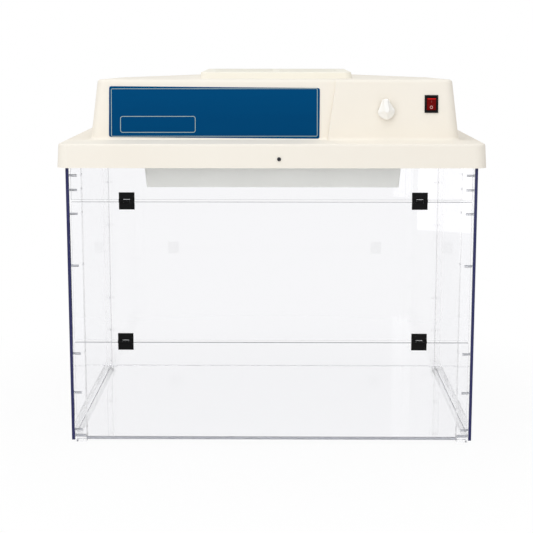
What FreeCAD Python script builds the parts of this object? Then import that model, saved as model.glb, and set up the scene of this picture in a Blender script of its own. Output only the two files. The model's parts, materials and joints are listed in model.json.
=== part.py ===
import FreeCAD, Part
import math
import os
import re
import Sketcher

# A bench-top clean box for PCR work: a clear cabinet under a moulded hood that holds fan, filter and lamps.
# Millimetres. The origin is at the bottom centre, +Z is up and the front looks towards -Y.

V = FreeCAD.Vector
X_AXIS, Y_AXIS, Z_AXIS = V(1, 0, 0), V(0, 1, 0), V(0, 0, 1)

# Driving dimensions, each written once
SIZES = {
    # Clear cabinet
    "box_width": 787.0,
    "box_depth": 600.0,
    "wall": 6.0,
    "foot_height": 6.0,
    "floor_thick": 6.0,
    "post_side": 22.0,
    "bar_side": 11.5,
    "panel_thick": 6.0,
    "panel_edge_gap": 3.5,
    "panel_stop_gap": 0.5,
    "panel_floor_gap": 1.0,
    "seam_gap": 4.0,
    "header_drop": 64.5,
    "lower_seam": 205.0,
    # Screws that hold the side walls to the corner posts, three from the bench up and four from the rim down
    "low_screw_rise_1": 23.7,
    "low_screw_rise_2": 99.0,
    "low_screw_rise_3": 177.6,
    "high_screw_drop_1": 17.0,
    "high_screw_drop_2": 45.0,
    "high_screw_drop_3": 91.2,
    "high_screw_drop_4": 192.6,
    "screw_radius": 2.0,
    "screw_head_radius": 3.8,
    "screw_head_height": 2.2,
    "screw_bite": 14.0,
    "screw_play": 0.1,
    # Butt hinges of the front panels
    "hinge_width": 30.0,
    "hinge_leaf_height": 16.5,
    "hinge_leaf_thick": 1.6,
    "knuckle_radius": 3.0,
    "knuckle_offset": 3.2,
    "knuckle_middle": 12.0,
    "knuckle_gap": 0.4,
    "hinge_pin_radius": 1.2,
    "hinge_play": 0.06,
    "upper_left_hinge_inset": 107.0,
    "upper_right_hinge_inset": 100.5,
    "lower_left_hinge_inset": 100.5,
    "lower_right_hinge_inset": 97.0,
    # Hood shell
    "rim_side_gap": 8.6,
    "rim_end_gap": 11.4,
    "rim_bottom": 545.0,
    "rim_height": 45.5,
    "rim_lean": 2.6,
    "rim_corner": 22.0,
    "rim_edge_round": 4.0,
    "shelf_margin": 9.0,
    "shelf_rise": 3.0,
    "skin": 4.0,
    "shelf_left": 56.7,
    "shelf_right": 46.2,
    "shelf_end": 68.0,
    "hood_height": 115.5,
    "hood_lean": 13.7,
    "hood_corner": 18.0,
    "roof_edge_round": 6.5,
    "control_zone": 255.0,
    "ridge_lean": 16.6,
    "ridge_proud": 7.0,
    "ridge_round": 2.5,
    "crown_margin": 10.0,
    "roof_fall": 9.0,
    "plinth_proud": 0.8,
    "plinth_margin": 9.0,
    # Pre-filter and its cover
    "intake_shift": 8.0,
    "cover_side": 304.0,
    "cover_height": 12.5,
    "cover_lean": 2.0,
    "cover_corner": 14.0,
    "cover_skin": 3.0,
    "cover_round": 2.0,
    "slot_margin": 22.0,
    "slot_width": 7.0,
    "slot_pitch": 19.0,
    "slot_mid_gap": 14.0,
    "slot_count": 13,
    "pad_gap": 2.0,
    "pad_thick": 9.0,
    "pad_seat": 11.0,
    "seat_margin": 3.0,
    # Fan
    "fan_plate_lap": 16.0,
    "fan_plate_thick": 2.0,
    "fan_inlet_radius": 66.0,
    "bell_flare": 12.0,
    "bell_depth": 14.0,
    "bell_wall": 1.5,
    "impeller_radius": 108.0,
    "impeller_top_gap": 8.0,
    "impeller_eye_gap": 2.5,
    "impeller_collar": 6.0,
    "impeller_sheet": 2.0,
    "impeller_slope": 12.0,
    "blade_count": 9,
    "blade_thick": 1.6,
    "blade_curve": 78.0,
    "blade_root_gap": 6.0,
    "motor_gap": 2.0,
    "motor_base_radius": 40.0,
    "motor_base_thick": 4.0,
    "stator_gap": 8.0,
    "stator_height": 22.0,
    "bearing_radius": 12.0,
    "shaft_radius": 4.0,
    "shaft_play": 0.05,
    "cup_radius": 44.0,
    "cup_wall": 4.0,
    "cup_height": 38.0,
    "motor_plate_thick": 3.0,
    "motor_plate_hub": 52.0,
    "motor_arm_width": 24.0,
    "spacer_radius": 5.0,
    "spacer_circle": 134.0,
    "motor_plate_gap": 5.0,
    # Ceiling plate and main filter
    "ceiling_thick": 2.5,
    "ceiling_gap": 0.5,
    "filter_side_room": 82.5,
    "filter_width": 305.0,
    "filter_height": 69.0,
    "filter_frame_wall": 12.0,
    "filter_place": 40.0,
    "gasket_thick": 4.0,
    "pleat_pitch": 14.0,
    "pleat_sheet": 1.4,
    "pleat_inset": 6.0,
    "clamp_end_room": 95.0,
    "clamp_sheet": 2.0,
    "clamp_foot": 16.0,
    "clamp_lip": 10.0,
    # Lamps
    "lamp_end_room": 32.0,
    "lamp_side_room": 4.9,
    "lamp_box_height": 45.0,
    "lamp_box_lean": 4.0,
    "lamp_box_skin": 2.0,
    "lamp_box_corner": 4.0,
    "lamp_box_shift": 2.0,
    "lamp_box_setback": 60.0,
    "tube_radius": 12.7,
    "tube_length": 437.0,
    "tube_cap_length": 14.0,
    "tube_cap_extra": 0.4,
    "tube_pin_radius": 1.2,
    "tube_pin_length": 7.0,
    "tube_pin_spread": 6.35,
    "tube_spread": 21.0,
    "tube_drop": 24.0,
    "holder_thick": 16.0,
    "holder_width": 22.0,
    "holder_reach": 16.0,
    "ballast_length": 190.0,
    "ballast_width": 46.0,
    "ballast_height": 30.0,
    "ballast_lug": 12.0,
    "ballast_lug_thick": 2.0,
    # Nameplate and controls on the hood's front
    "plate_left_margin": 37.25,
    "plate_right_margin": 14.75,
    "plate_low_margin": 3.8,
    "plate_high_margin": 14.7,
    "plate_thick": 1.2,
    "plate_corner": 4.0,
    "plate_tilt": 0.5,
    "knob_inset": 142.0,
    "knob_up": 55.1,
    "knob_radius": 17.0,
    "knob_skirt": 5.0,
    "knob_shoulder": 12.5,
    "grip_length": 40.0,
    "grip_width": 14.0,
    "grip_height": 17.0,
    "grip_lean": 4.0,
    "knob_gap": 0.5,
    "spindle_radius": 3.0,
    "spindle_play": 0.06,
    "spindle_seat": 11.0,
    "bush_radius": 4.6,
    "bush_proud": 1.0,
    "bush_play": 0.2,
    "nut_radius": 7.5,
    "nut_thick": 2.5,
    "control_side": 46.0,
    "control_depth": 24.0,
    "switch_inset": 55.0,
    "switch_up": 69.1,
    "bezel_width": 26.0,
    "bezel_height": 34.0,
    "bezel_thick": 2.2,
    "bezel_round": 0.9,
    "switch_body_width": 22.4,
    "switch_body_height": 30.0,
    "switch_body_depth": 26.0,
    "switch_fit": 0.2,
    "rocker_width": 17.6,
    "rocker_height": 23.2,
    "rocker_play": 0.5,
    "rocker_room": 12.0,
    "rocker_tip": 2.4,
    "rocker_dip": 0.4,
    "rocker_under": 3.0,
    "rocker_tilt": 8.0,
    "rocker_pivot_depth": 1.5,
    "rocker_pivot_radius": 1.2,
    # Power inlet on the hood's back
    "inlet_inset": 112.5,
    "inlet_up": 49.5,
    "inlet_flange_width": 50.0,
    "inlet_flange_height": 23.0,
    "inlet_flange_thick": 2.5,
    "inlet_body_width": 27.5,
    "inlet_body_height": 20.0,
    "inlet_body_depth": 20.0,
    "inlet_mouth_width": 24.4,
    "inlet_mouth_height": 16.9,
    "inlet_mouth_depth": 15.0,
    "inlet_mouth_cut": 4.5,
    "inlet_pin_width": 2.0,
    "inlet_pin_height": 4.0,
    "inlet_pin_length": 12.0,
    "inlet_pin_spread": 7.0,
    "inlet_pin_offset": 2.0,
    # Screws through the hood's rim
    "rim_screw_across": 14.5,
    "rim_screw_up": 17.0,
    "rim_sleeve_radius": 4.5,
}

doc = FreeCAD.newDocument("pcr_workstation")
sheet = doc.addObject("Spreadsheet::Sheet", "Sizes")
for row, (size_name, size_value) in enumerate(SIZES.items(), 1):
    sheet.set(f"A{row}", size_name)
    sheet.set(f"B{row}", str(size_value))
    sheet.setAlias(f"B{row}", size_name)
doc.recompute()

nodes = []
SIZE_WORD = re.compile(r"[a-z][a-z0-9_]*")

# Heights and places that several pieces share, as formulas over the driving dimensions
SHELF_UNDER = "(rim_bottom + rim_height - skin)"
SHELF_EDGE = "(rim_bottom + rim_height)"
HOOD_FOOT = "(rim_bottom + rim_height + shelf_rise)"
ROOF = "(rim_bottom + rim_height + shelf_rise + hood_height)"
ROOF_BACK = "(rim_bottom + rim_height + shelf_rise + hood_height - roof_fall)"
ROOF_SEAT = "(rim_bottom + rim_height + shelf_rise + hood_height - roof_fall - skin)"
FLOOR_TOP = "(foot_height + floor_thick)"
RIM_X = "(box_width / 2 + rim_side_gap + skin + rim_lean)"
RIM_Y = "(box_depth / 2 + rim_end_gap + skin + rim_lean)"
HOOD_LEFT = f"(shelf_left - {RIM_X})"
HOOD_RIGHT = f"({RIM_X} - shelf_right)"
HOOD_Y = f"({RIM_Y} - shelf_end)"
ROOF_HALF = f"({HOOD_Y} - hood_lean)"
RIDGE = f"({HOOD_RIGHT} - control_zone)"
KNOB_X = f"({HOOD_RIGHT} - knob_inset)"
SWITCH_X = f"({HOOD_RIGHT} - switch_inset)"
INLET_X = f"({HOOD_RIGHT} - inlet_inset)"
COVER_ROOM = "(cover_side / 2 - cover_skin - cover_lean)"
PAD_HALF = f"({COVER_ROOM} - pad_gap)"
INTAKE_HALF = f"({PAD_HALF} - pad_seat)"
FAN_PLATE_HALF = f"({INTAKE_HALF} + fan_plate_lap)"
PLINTH_HALF = "(cover_side / 2 + plinth_margin)"
PLINTH = f"({ROOF} - roof_fall * ({ROOF_HALF} - {PLINTH_HALF}) / (2 * {ROOF_HALF}) + plinth_proud)"
SEAT_HALF = f"({FAN_PLATE_HALF} + seat_margin)"
BOX_LEFT = "(-box_width / 2)"
INNER_LEFT = "(wall - box_width / 2)"
INNER_RIGHT = "(box_width / 2 - wall)"
BOX_FRONT = "(-box_depth / 2)"
BOX_BACK = "(box_depth / 2)"
POST_FRONT = "(panel_thick + panel_stop_gap - box_depth / 2)"
CEILING_TOP = "(rim_bottom + ceiling_thick)"
FILTER_BOTTOM = "(rim_bottom + ceiling_thick + gasket_thick)"
FAN_PLATE_UNDER = f"({ROOF_SEAT} - fan_plate_thick)"
FILTER_LENGTH = "(box_width - 2 * wall - 2 * filter_side_room)"
MOTOR_PLATE_UNDER = f"({FILTER_BOTTOM} + filter_height + clamp_sheet + motor_plate_gap)"
MOTOR_PLATE_TOP = f"({MOTOR_PLATE_UNDER} + motor_plate_thick)"
FAN_DROP = f"({FAN_PLATE_UNDER} - {MOTOR_PLATE_TOP})"
IMPELLER_LIFT = "(motor_base_thick + motor_gap)"
IMPELLER_HEIGHT = f"({FAN_DROP} - {IMPELLER_LIFT} - impeller_collar - impeller_top_gap)"
EYE = "(fan_inlet_radius + bell_wall + impeller_eye_gap)"
UPPER_SEAM = "(rim_bottom - header_drop)"
HINGE_AXIS = "(-box_depth / 2 - knuckle_offset)"
FACE_TURN = "90 deg - atan(hood_lean / hood_height)"


def formula(text):
    """Returns an expression in which every size's name points at its cell."""
    return SIZE_WORD.sub(lambda word: "Sizes." + word[0] if word[0] in SIZES else word[0], text)


def number(text):
    """Works out a formula from the driving dimensions, to tell edges apart by where they lie."""
    for name in sorted(set(SIZE_WORD.findall(text)), key=len, reverse=True):
        text = re.sub(rf"\b{name}\b", str(sheet.get(name)), text)
    return float(FreeCAD.Units.Quantity(text).Value)


def bind(thing, prop, text):
    thing.setExpression(prop, formula(text))


def place(thing, x="0", y="0", z="0", turn=None, axis=X_AXIS):
    """Puts a piece at a point, turned about an axis by a formula in degrees."""
    if turn is not None:
        thing.Placement = FreeCAD.Placement(V(), FreeCAD.Rotation(axis, 1))
        bind(thing, "Placement.Rotation.Angle", turn)
    for letter, text in zip("xyz", (x, y, z)):
        bind(thing, "Placement.Base." + letter, text)
    return thing


def node(thing, label):
    """Marks an object as a sub-part with its own file."""
    thing.Label = label
    nodes.append(thing)
    return thing


def new_body(name):
    return doc.addObject("PartDesign::Body", name)


def new_sketch(body, plane, lift="0"):
    """Makes a sketch on one of the body's origin planes, lifted along the plane's normal."""
    sketch = body.newObject("Sketcher::SketchObject", body.Name + "_sketch")
    support = next(part for part in body.Origin.OriginFeatures if part.Role == plane)
    sketch.AttachmentSupport = [(support, "")]
    sketch.MapMode = "FlatFace"
    bind(sketch, "AttachmentOffset.Base.z", lift)
    return sketch


def pin_point(sketch, kind, edge, end, text):
    """Ties a point of a sketch to the origin by a DistanceX, DistanceY or Distance formula."""
    point = sketch.getPoint(edge, end)
    now = {"DistanceX": point.x, "DistanceY": point.y, "Distance": point.Length}[kind]
    tie = sketch.addConstraint(Sketcher.Constraint(kind, -1, 1, edge, end, now))
    bind(sketch, f"Constraints[{tie}]", text)


def outline(sketch, corners):
    """Draws a closed run of straight edges through corners given as pairs of formulas."""
    count = len(corners)
    first = sketch.GeometryCount
    ring = [V(10 * math.cos(2 * math.pi * k / count), 10 * math.sin(2 * math.pi * k / count), 0)
            for k in range(count)]
    for k in range(count):
        sketch.addGeometry(Part.LineSegment(ring[k], ring[(k + 1) % count]))
    for k in range(count):
        sketch.addConstraint(Sketcher.Constraint("Coincident", first + k, 2, first + (k + 1) % count, 1))
    for k, (x, y) in enumerate(corners):
        pin_point(sketch, "DistanceX", first + k, 1, x)
        pin_point(sketch, "DistanceY", first + k, 1, y)
    return sketch


def rectangle(sketch, left, right, low, high):
    return outline(sketch, [(left, low), (right, low), (right, high), (left, high)])


def circle(sketch, x, y, radius):
    """Draws a circle with its centre and radius tied to formulas."""
    edge = sketch.addGeometry(Part.Circle(V(1, 1, 0), Z_AXIS, 1))
    pin_point(sketch, "DistanceX", edge, 3, x)
    pin_point(sketch, "DistanceY", edge, 3, y)
    tie = sketch.addConstraint(Sketcher.Constraint("Radius", edge, 1))
    bind(sketch, f"Constraints[{tie}]", radius)
    return sketch


def pad(body, sketch, length, reverse=False):
    feature = body.newObject("PartDesign::Pad", body.Name + "_pad")
    feature.Profile = sketch
    feature.Reversed = reverse
    bind(feature, "Length", length)
    doc.recompute()
    return feature


def pocket(body, sketch, length, reverse=False):
    """Cuts a sketch's outline to a depth and makes sure that it took material away."""
    before = body.Shape.Volume
    feature = body.newObject("PartDesign::Pocket", body.Name + "_pocket")
    feature.Profile = sketch
    feature.Reversed = reverse
    bind(feature, "Length", length)
    doc.recompute()
    if feature.Shape.Volume >= before:
        raise ValueError(f"{feature.Name} cuts nothing")
    return feature


def revolve(body, sketch, axis="V_Axis"):
    feature = body.newObject("PartDesign::Revolution", body.Name + "_turned")
    feature.Profile = sketch
    feature.ReferenceAxis = (sketch, [axis])
    feature.Angle = 360
    doc.recompute()
    return feature


def wedge(body, left, right, front, back, low, top, top_left, top_right, top_front, top_back):
    """Adds a four-sided form whose sides run straight from a rectangle at its foot to one at its top."""
    feature = body.newObject("PartDesign::AdditiveWedge", body.Name + "_wedge")
    feature.Placement = FreeCAD.Placement(V(), FreeCAD.Rotation(X_AXIS, 90))
    for prop, text in (("Xmin", left), ("Xmax", right), ("Zmin", f"-({back})"), ("Zmax", f"-({front})"),
                       ("Ymin", low), ("Ymax", top), ("X2min", top_left), ("X2max", top_right),
                       ("Z2min", f"-({top_back})"), ("Z2max", f"-({top_front})")):
        bind(feature, prop, text)
    doc.recompute()
    return feature


def round_edges(body, radius, chosen):
    """Fillets the edges of the body's last feature that the test picks out."""
    base = body.Tip
    names = [f"Edge{k}" for k, edge in enumerate(base.Shape.Edges, 1) if chosen(edge)]
    if not names:
        raise ValueError(f"{body.Name} has no edge to round")
    feature = body.newObject("PartDesign::Fillet", body.Name + "_round")
    feature.Base = (base, names)
    bind(feature, "Radius", radius)
    doc.recompute()
    return feature


def block(name, length, width, height, x, y, z):
    """Makes a rectangular block from its low corner."""
    thing = doc.addObject("Part::Box", name)
    bind(thing, "Length", length)
    bind(thing, "Width", width)
    bind(thing, "Height", height)
    return place(thing, x, y, z)


def rod(name, radius, length, x, y, z, axis=None, turn="0"):
    """Makes a cylinder that starts at a point and runs along +Z, or as turned about an axis."""
    thing = doc.addObject("Part::Cylinder", name)
    bind(thing, "Radius", radius)
    bind(thing, "Height", length)
    if axis is None:
        return place(thing, x, y, z)
    return place(thing, x, y, z, turn, axis)


def cut(name, base, *tools):
    thing = doc.addObject("Part::Cut", name)
    thing.Base = base
    thing.Tool = tools[0] if len(tools) == 1 else fuse(name + "_tools", *tools)
    return thing


def fuse(name, *pieces):
    """Joins pieces. Pieces that don't meet stay separate solids in one object."""
    thing = doc.addObject("Part::MultiFuse", name)
    thing.Shapes = list(pieces)
    return thing


def lies_between(edge, low, high):
    box = edge.BoundBox
    return box.ZMin > low - 0.01 and box.ZMax < high + 0.01


def is_upright(edge):
    box = edge.BoundBox
    return box.ZLength > max(box.XLength, box.YLength)


def leaning_form(body, left, right, front, back, low, height, lean):
    """Adds a four-sided form whose sides lean inwards by the same amount from its foot to its top."""
    return wedge(body, left, right, front, back, low, f"{low} + {height}", f"{left} + {lean}",
                 f"{right} - {lean}", f"{front} + {lean}", f"{back} - {lean}")


def on_front_face(thing, across, up, proud="0", turn=FACE_TURN):
    """Seats a piece drawn face-up on the hood's leaning front, at a height above the hood's foot."""
    return place(thing, across, f"-{HOOD_Y} - {proud} + {up} * hood_lean / hood_height",
                 f"{HOOD_FOOT} + {up}", turn)


def on_back_face(thing, across, up):
    """Seats a piece drawn face-up on the hood's leaning back, at a height above the hood's foot."""
    return place(thing, across, f"{HOOD_Y} - {up} * hood_lean / hood_height",
                 f"{HOOD_FOOT} + {up}", f"-({FACE_TURN})")


# Side walls, with a row of screws into the corner posts and bars and one under the hood's rim
SCREW_HEIGHTS = [f"low_screw_rise_{k}" for k in (1, 2, 3)]
SCREW_HEIGHTS += [f"(rim_bottom - high_screw_drop_{k})" for k in (4, 3, 2, 1)]
FRONT_SCREW_LINE = f"({POST_FRONT} + post_side / 2)"
BACK_SCREW_LINE = "(box_depth / 2 - wall - bar_side / 2)"
RIM_SCREW_LEVEL = "(rim_bottom + rim_screw_up)"
HOLE_RADIUS = "screw_radius + screw_play"


def screw_holes(sketch, lines):
    for across in lines:
        for height in SCREW_HEIGHTS:
            circle(sketch, across, height, HOLE_RADIUS)
    return sketch


def side_wall(label, x):
    """Clear side wall, from the foot gap up to the underside of the hood's shelf."""
    body = new_body(label)
    sheet_face = rectangle(new_sketch(body, "YZ_Plane"), BOX_FRONT, BOX_BACK, "foot_height", SHELF_UNDER)
    pad(body, sheet_face, "wall")
    holes = screw_holes(new_sketch(body, "YZ_Plane"), (FRONT_SCREW_LINE, BACK_SCREW_LINE))
    circle(holes, "0", RIM_SCREW_LEVEL, HOLE_RADIUS)
    pocket(body, holes, "wall", reverse=True)
    place(body, x)
    return node(body, label)


def corner_post(label, side, x, y, line):
    """Upright square bar that stands on the bench and carries the ceiling plate on its top."""
    body = new_body(label)
    pad(body, rectangle(new_sketch(body, "XY_Plane"), "0", side, "0", side), "rim_bottom")
    holes = screw_holes(new_sketch(body, "YZ_Plane"), (line,))
    left = x == INNER_LEFT
    if left:
        pocket(body, holes, f"min(screw_bite; {side} * 0.8)", reverse=True)
    else:
        bind(holes, "AttachmentOffset.Base.z", side)
        pocket(body, holes, f"min(screw_bite; {side} * 0.8)")
    place(body, x, y)
    return node(body, label)


def wall_screws(label, hand):
    """All the screws of one side wall. hand is 1 on the right and -1 on the left."""
    screws = []
    for column, line, side in (("front", FRONT_SCREW_LINE, "post_side"),
                               ("back", BACK_SCREW_LINE, "bar_side")):
        for k, height in enumerate(SCREW_HEIGHTS, 1):
            reach = f"min(screw_bite; {side} * 0.8)"
            head = doc.addObject("Part::Cone", f"{label}_{column}_head_{k}")
            bind(head, "Radius1", "screw_head_radius")
            bind(head, "Radius2", "screw_radius")
            bind(head, "Height", "screw_head_height")
            place(head, f"{hand} * box_width / 2", line, height, f"{hand} * 90", Y_AXIS)
            shank = rod(f"{label}_{column}_shank_{k}", "screw_radius", f"wall + {reach}",
                        f"{hand} * box_width / 2", line, height, Y_AXIS, f"-{hand} * 90")
            screws.append(fuse(f"{label}_{column}_{k}", head, shank))
    group = doc.addObject("Part::Compound", label)
    group.Links = screws
    return node(group, label)


side_wall("left_wall", BOX_LEFT)
side_wall("right_wall", INNER_RIGHT)
corner_post("front_left_post", "post_side", INNER_LEFT, POST_FRONT, "post_side / 2")
corner_post("front_right_post", "post_side", f"{INNER_RIGHT} - post_side", POST_FRONT, "post_side / 2")
corner_post("back_left_bar", "bar_side", INNER_LEFT, "box_depth / 2 - wall - bar_side", "bar_side / 2")
corner_post("back_right_bar", "bar_side", f"{INNER_RIGHT} - bar_side", "box_depth / 2 - wall - bar_side",
            "bar_side / 2")
wall_screws("left_wall_screws", -1)
wall_screws("right_wall_screws", 1)


# Back wall, floor and the bars that tie the floor to the side walls
def drilled_sheet(label, left, right, low, high, y, thick, hole_across):
    """Clear upright sheet across the cabinet, with one hole for the hood's rim screw."""
    body = new_body(label)
    pad(body, rectangle(new_sketch(body, "XZ_Plane"), left, right, low, high), thick, reverse=True)
    pocket(body, circle(new_sketch(body, "XZ_Plane"), hole_across, RIM_SCREW_LEVEL, HOLE_RADIUS), thick)
    place(body, "0", y)
    return node(body, label)


def floor_sheet():
    """Clear floor with its corners cut out around the posts."""
    body = new_body("floor_panel")
    back = "(box_depth / 2 - wall)"
    post_in, post_back = "post_side", f"({POST_FRONT} + post_side)"
    bar_in, bar_front = "bar_side", f"({back} - bar_side)"
    outline(new_sketch(body, "XY_Plane", "foot_height"), [
        (f"{INNER_LEFT} + {post_in}", POST_FRONT), (f"{INNER_RIGHT} - {post_in}", POST_FRONT),
        (f"{INNER_RIGHT} - {post_in}", post_back), (INNER_RIGHT, post_back),
        (INNER_RIGHT, bar_front), (f"{INNER_RIGHT} - {bar_in}", bar_front),
        (f"{INNER_RIGHT} - {bar_in}", back), (f"{INNER_LEFT} + {bar_in}", back),
        (f"{INNER_LEFT} + {bar_in}", bar_front), (INNER_LEFT, bar_front),
        (INNER_LEFT, post_back), (f"{INNER_LEFT} + {post_in}", post_back)])
    pad(body, body.Group[-1], "floor_thick")
    return node(body, "floor_panel")


drilled_sheet("back_wall", INNER_LEFT, INNER_RIGHT, "foot_height", SHELF_UNDER, "box_depth / 2 - wall",
              "wall", "0")
floor_sheet()
for side_name, bar_x in (("left", INNER_LEFT), ("right", f"{INNER_RIGHT} - bar_side")):
    floor_bar = block(side_name + "_floor_bar", "bar_side",
                      f"box_depth / 2 - wall - bar_side - {POST_FRONT} - post_side",
                      "bar_side", bar_x, f"{POST_FRONT} + post_side", FLOOR_TOP)
    node(floor_bar, side_name + "_floor_bar")

# Front panels: a fixed header, then a sash and a flap that hang from hinges
PANEL_LEFT = f"({INNER_LEFT} + panel_edge_gap)"
PANEL_RIGHT = f"({INNER_RIGHT} - panel_edge_gap)"
drilled_sheet("header_panel", PANEL_LEFT, PANEL_RIGHT, f"{UPPER_SEAM} + seam_gap / 2", SHELF_UNDER, BOX_FRONT,
              "panel_thick", "rim_screw_across")
sash = block("sash_panel", f"{PANEL_RIGHT} - {PANEL_LEFT}", "panel_thick",
             f"{UPPER_SEAM} - lower_seam - seam_gap",
             PANEL_LEFT, BOX_FRONT, "lower_seam + seam_gap / 2")
node(sash, "sash_panel")
flap = block("flap_panel", f"{PANEL_RIGHT} - {PANEL_LEFT}", "panel_thick",
             "lower_seam - seam_gap / 2 - foot_height - panel_floor_gap", PANEL_LEFT, BOX_FRONT,
             "foot_height + panel_floor_gap")
node(flap, "flap_panel")


def hinge_leaf(label, x, level, up, spans, bore):
    """One leaf of a butt hinge with its share of the knuckle. up is 1 above the pin and -1 below."""
    body = new_body(label)
    near = "(knuckle_radius + knuckle_gap)"
    plate = rectangle(new_sketch(body, "XZ_Plane", "-knuckle_offset"), "-hinge_width / 2", "hinge_width / 2",
                      f"min({up} * {near}; {up} * hinge_leaf_height)",
                      f"max({up} * {near}; {up} * hinge_leaf_height)")
    pad(body, plate, "hinge_leaf_thick")
    for start, end in spans:
        tab = rectangle(new_sketch(body, "XY_Plane"), start, end, "0", "knuckle_offset")
        pad(body, tab, f"{near} + knuckle_gap", reverse=up < 0)
        barrel = circle(new_sketch(body, "YZ_Plane", start), "0", "0", "knuckle_radius")
        pad(body, barrel, f"{end} - ({start})")
    hole = circle(new_sketch(body, "YZ_Plane", "-hinge_width / 2"), "0", "0", bore)
    pocket(body, hole, "hinge_width", reverse=True)
    place(body, x, HINGE_AXIS, level)
    return node(body, label)


MIDDLE = [("-knuckle_middle / 2", "knuckle_middle / 2")]
OUTER = [("-hinge_width / 2", "-knuckle_middle / 2 - knuckle_gap"),
         ("knuckle_middle / 2 + knuckle_gap", "hinge_width / 2")]
HINGE_PLACES = {
    "upper_left_hinge": (f"{PANEL_LEFT} + upper_left_hinge_inset", UPPER_SEAM),
    "upper_right_hinge": (f"{PANEL_RIGHT} - upper_right_hinge_inset", UPPER_SEAM),
    "lower_left_hinge": (f"{PANEL_LEFT} + lower_left_hinge_inset", "lower_seam"),
    "lower_right_hinge": (f"{PANEL_RIGHT} - lower_right_hinge_inset", "lower_seam"),
}
for stem, (hinge_x, level) in HINGE_PLACES.items():
    hinge_leaf(stem + "_top_leaf", hinge_x, level, 1, OUTER, "hinge_pin_radius")
    hinge_leaf(stem + "_bottom_leaf", hinge_x, level, -1, MIDDLE, "hinge_pin_radius + hinge_play")
    hinge_pin = rod(stem + "_pin", "hinge_pin_radius", "hinge_width", f"{hinge_x} - hinge_width / 2",
                    HINGE_AXIS, level, Y_AXIS, "90")
    node(hinge_pin, stem + "_pin")


# Hood shell
def upper_form(body, inset, low, top):
    """The hood's upper part with the proud control zone on its right, drawn inset from the outer faces."""
    rise = f"({top} - {low})"
    lean = f"({rise} * hood_lean / hood_height)"
    start = f"(({low} - {HOOD_FOOT}) * hood_lean / hood_height)"
    left = f"({HOOD_LEFT} + {inset} + {start})"
    right = f"({HOOD_RIGHT} - {inset} - {start})"
    front = f"(-{HOOD_Y} + {inset} + {start})"
    back = f"({HOOD_Y} - {inset} - {start})"
    leaning_form(body, left, right, front, back, low, rise, lean)
    ridge_run = "(ridge_lean / hood_height)"
    ridge = f"({RIDGE} + {inset} + ({low} - {HOOD_FOOT}) * {ridge_run})"
    ridge_end = f"({ridge} + {rise} * {ridge_run})"
    deep = "hood_corner * 2"
    wedge(body, ridge, right, f"{front} - ridge_proud", f"{front} + {deep}", low, top, ridge_end,
          f"{right} - {lean}", f"{front} + {lean} - ridge_proud", f"{front} + {lean} + {deep}")


def slope_roof(body, drop="0"):
    """Cuts a form's top along the roof's plane, which falls towards the back, or at a depth below it."""
    middle = f"({ROOF} - {drop} - roof_fall / 2)"
    half_fall = f"(roof_fall * {RIM_Y} / (2 * {ROOF_HALF}))"
    above = f"({ROOF} + roof_fall + 2 * skin)"
    profile = outline(new_sketch(body, "YZ_Plane", f"-{RIM_X}"), [
        (f"-{RIM_Y}", f"{middle} + {half_fall}"), (RIM_Y, f"{middle} - {half_fall}"), (RIM_Y, above),
        (f"-{RIM_Y}", above)])
    pocket(body, profile, f"2 * {RIM_X}", reverse=True)


def hood_blank():
    """Outside of the hood: rim, shelf, upper part, falling roof and the plinth for the pre-filter cover."""
    body = new_body("hood_blank")
    shelf_edge, foot, roof = (number(text) for text in (SHELF_EDGE, HOOD_FOOT, ROOF))
    ridge_start, front_face = number(RIDGE), -number(HOOD_Y)
    leaning_form(body, f"-{RIM_X}", RIM_X, f"-{RIM_Y}", RIM_Y, "rim_bottom", "rim_height", "rim_lean")
    round_edges(body, "rim_corner", lambda edge: is_upright(edge))
    round_edges(body, "rim_edge_round", lambda edge: lies_between(edge, shelf_edge, shelf_edge))
    margin = "(rim_lean + shelf_margin)"
    wedge(body, f"{margin} - {RIM_X}", f"{RIM_X} - {margin}", f"{margin} - {RIM_Y}", f"{RIM_Y} - {margin}",
          SHELF_EDGE, HOOD_FOOT, HOOD_LEFT, HOOD_RIGHT, f"-{HOOD_Y} - ridge_proud", HOOD_Y)
    upper_form(body, "0", HOOD_FOOT, f"({ROOF} + skin)")
    spare, fall = SIZES["skin"], SIZES["roof_fall"]

    def at_ridge(edge):
        box = edge.BoundBox
        return ridge_start - 1 < box.XMin and box.XMax < ridge_start + SIZES["ridge_lean"] + spare

    def in_upper(edge):
        return lies_between(edge, foot, roof + spare)

    round_edges(body, "hood_corner",
                lambda edge: in_upper(edge) and is_upright(edge) and not at_ridge(edge))
    slope_roof(body)
    round_edges(body, "min(roof_edge_round; ridge_proud)",
                lambda edge: lies_between(edge, roof - fall - spare, roof + spare) and not at_ridge(edge))
    round_edges(body, "ridge_round",
                lambda edge: in_upper(edge) and is_upright(edge) and at_ridge(edge)
                and edge.BoundBox.YMin < front_face - 0.5 * SIZES["ridge_proud"])
    inner = "(hood_lean + crown_margin)"
    wedge(body, f"{HOOD_LEFT} + {inner}", f"{HOOD_RIGHT} - {inner}", f"{inner} - {HOOD_Y}",
          f"{HOOD_Y} - {inner}", ROOF_BACK, PLINTH, f"intake_shift - {PLINTH_HALF}",
          f"intake_shift + {PLINTH_HALF}", f"-{PLINTH_HALF}", PLINTH_HALF)
    return body


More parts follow.
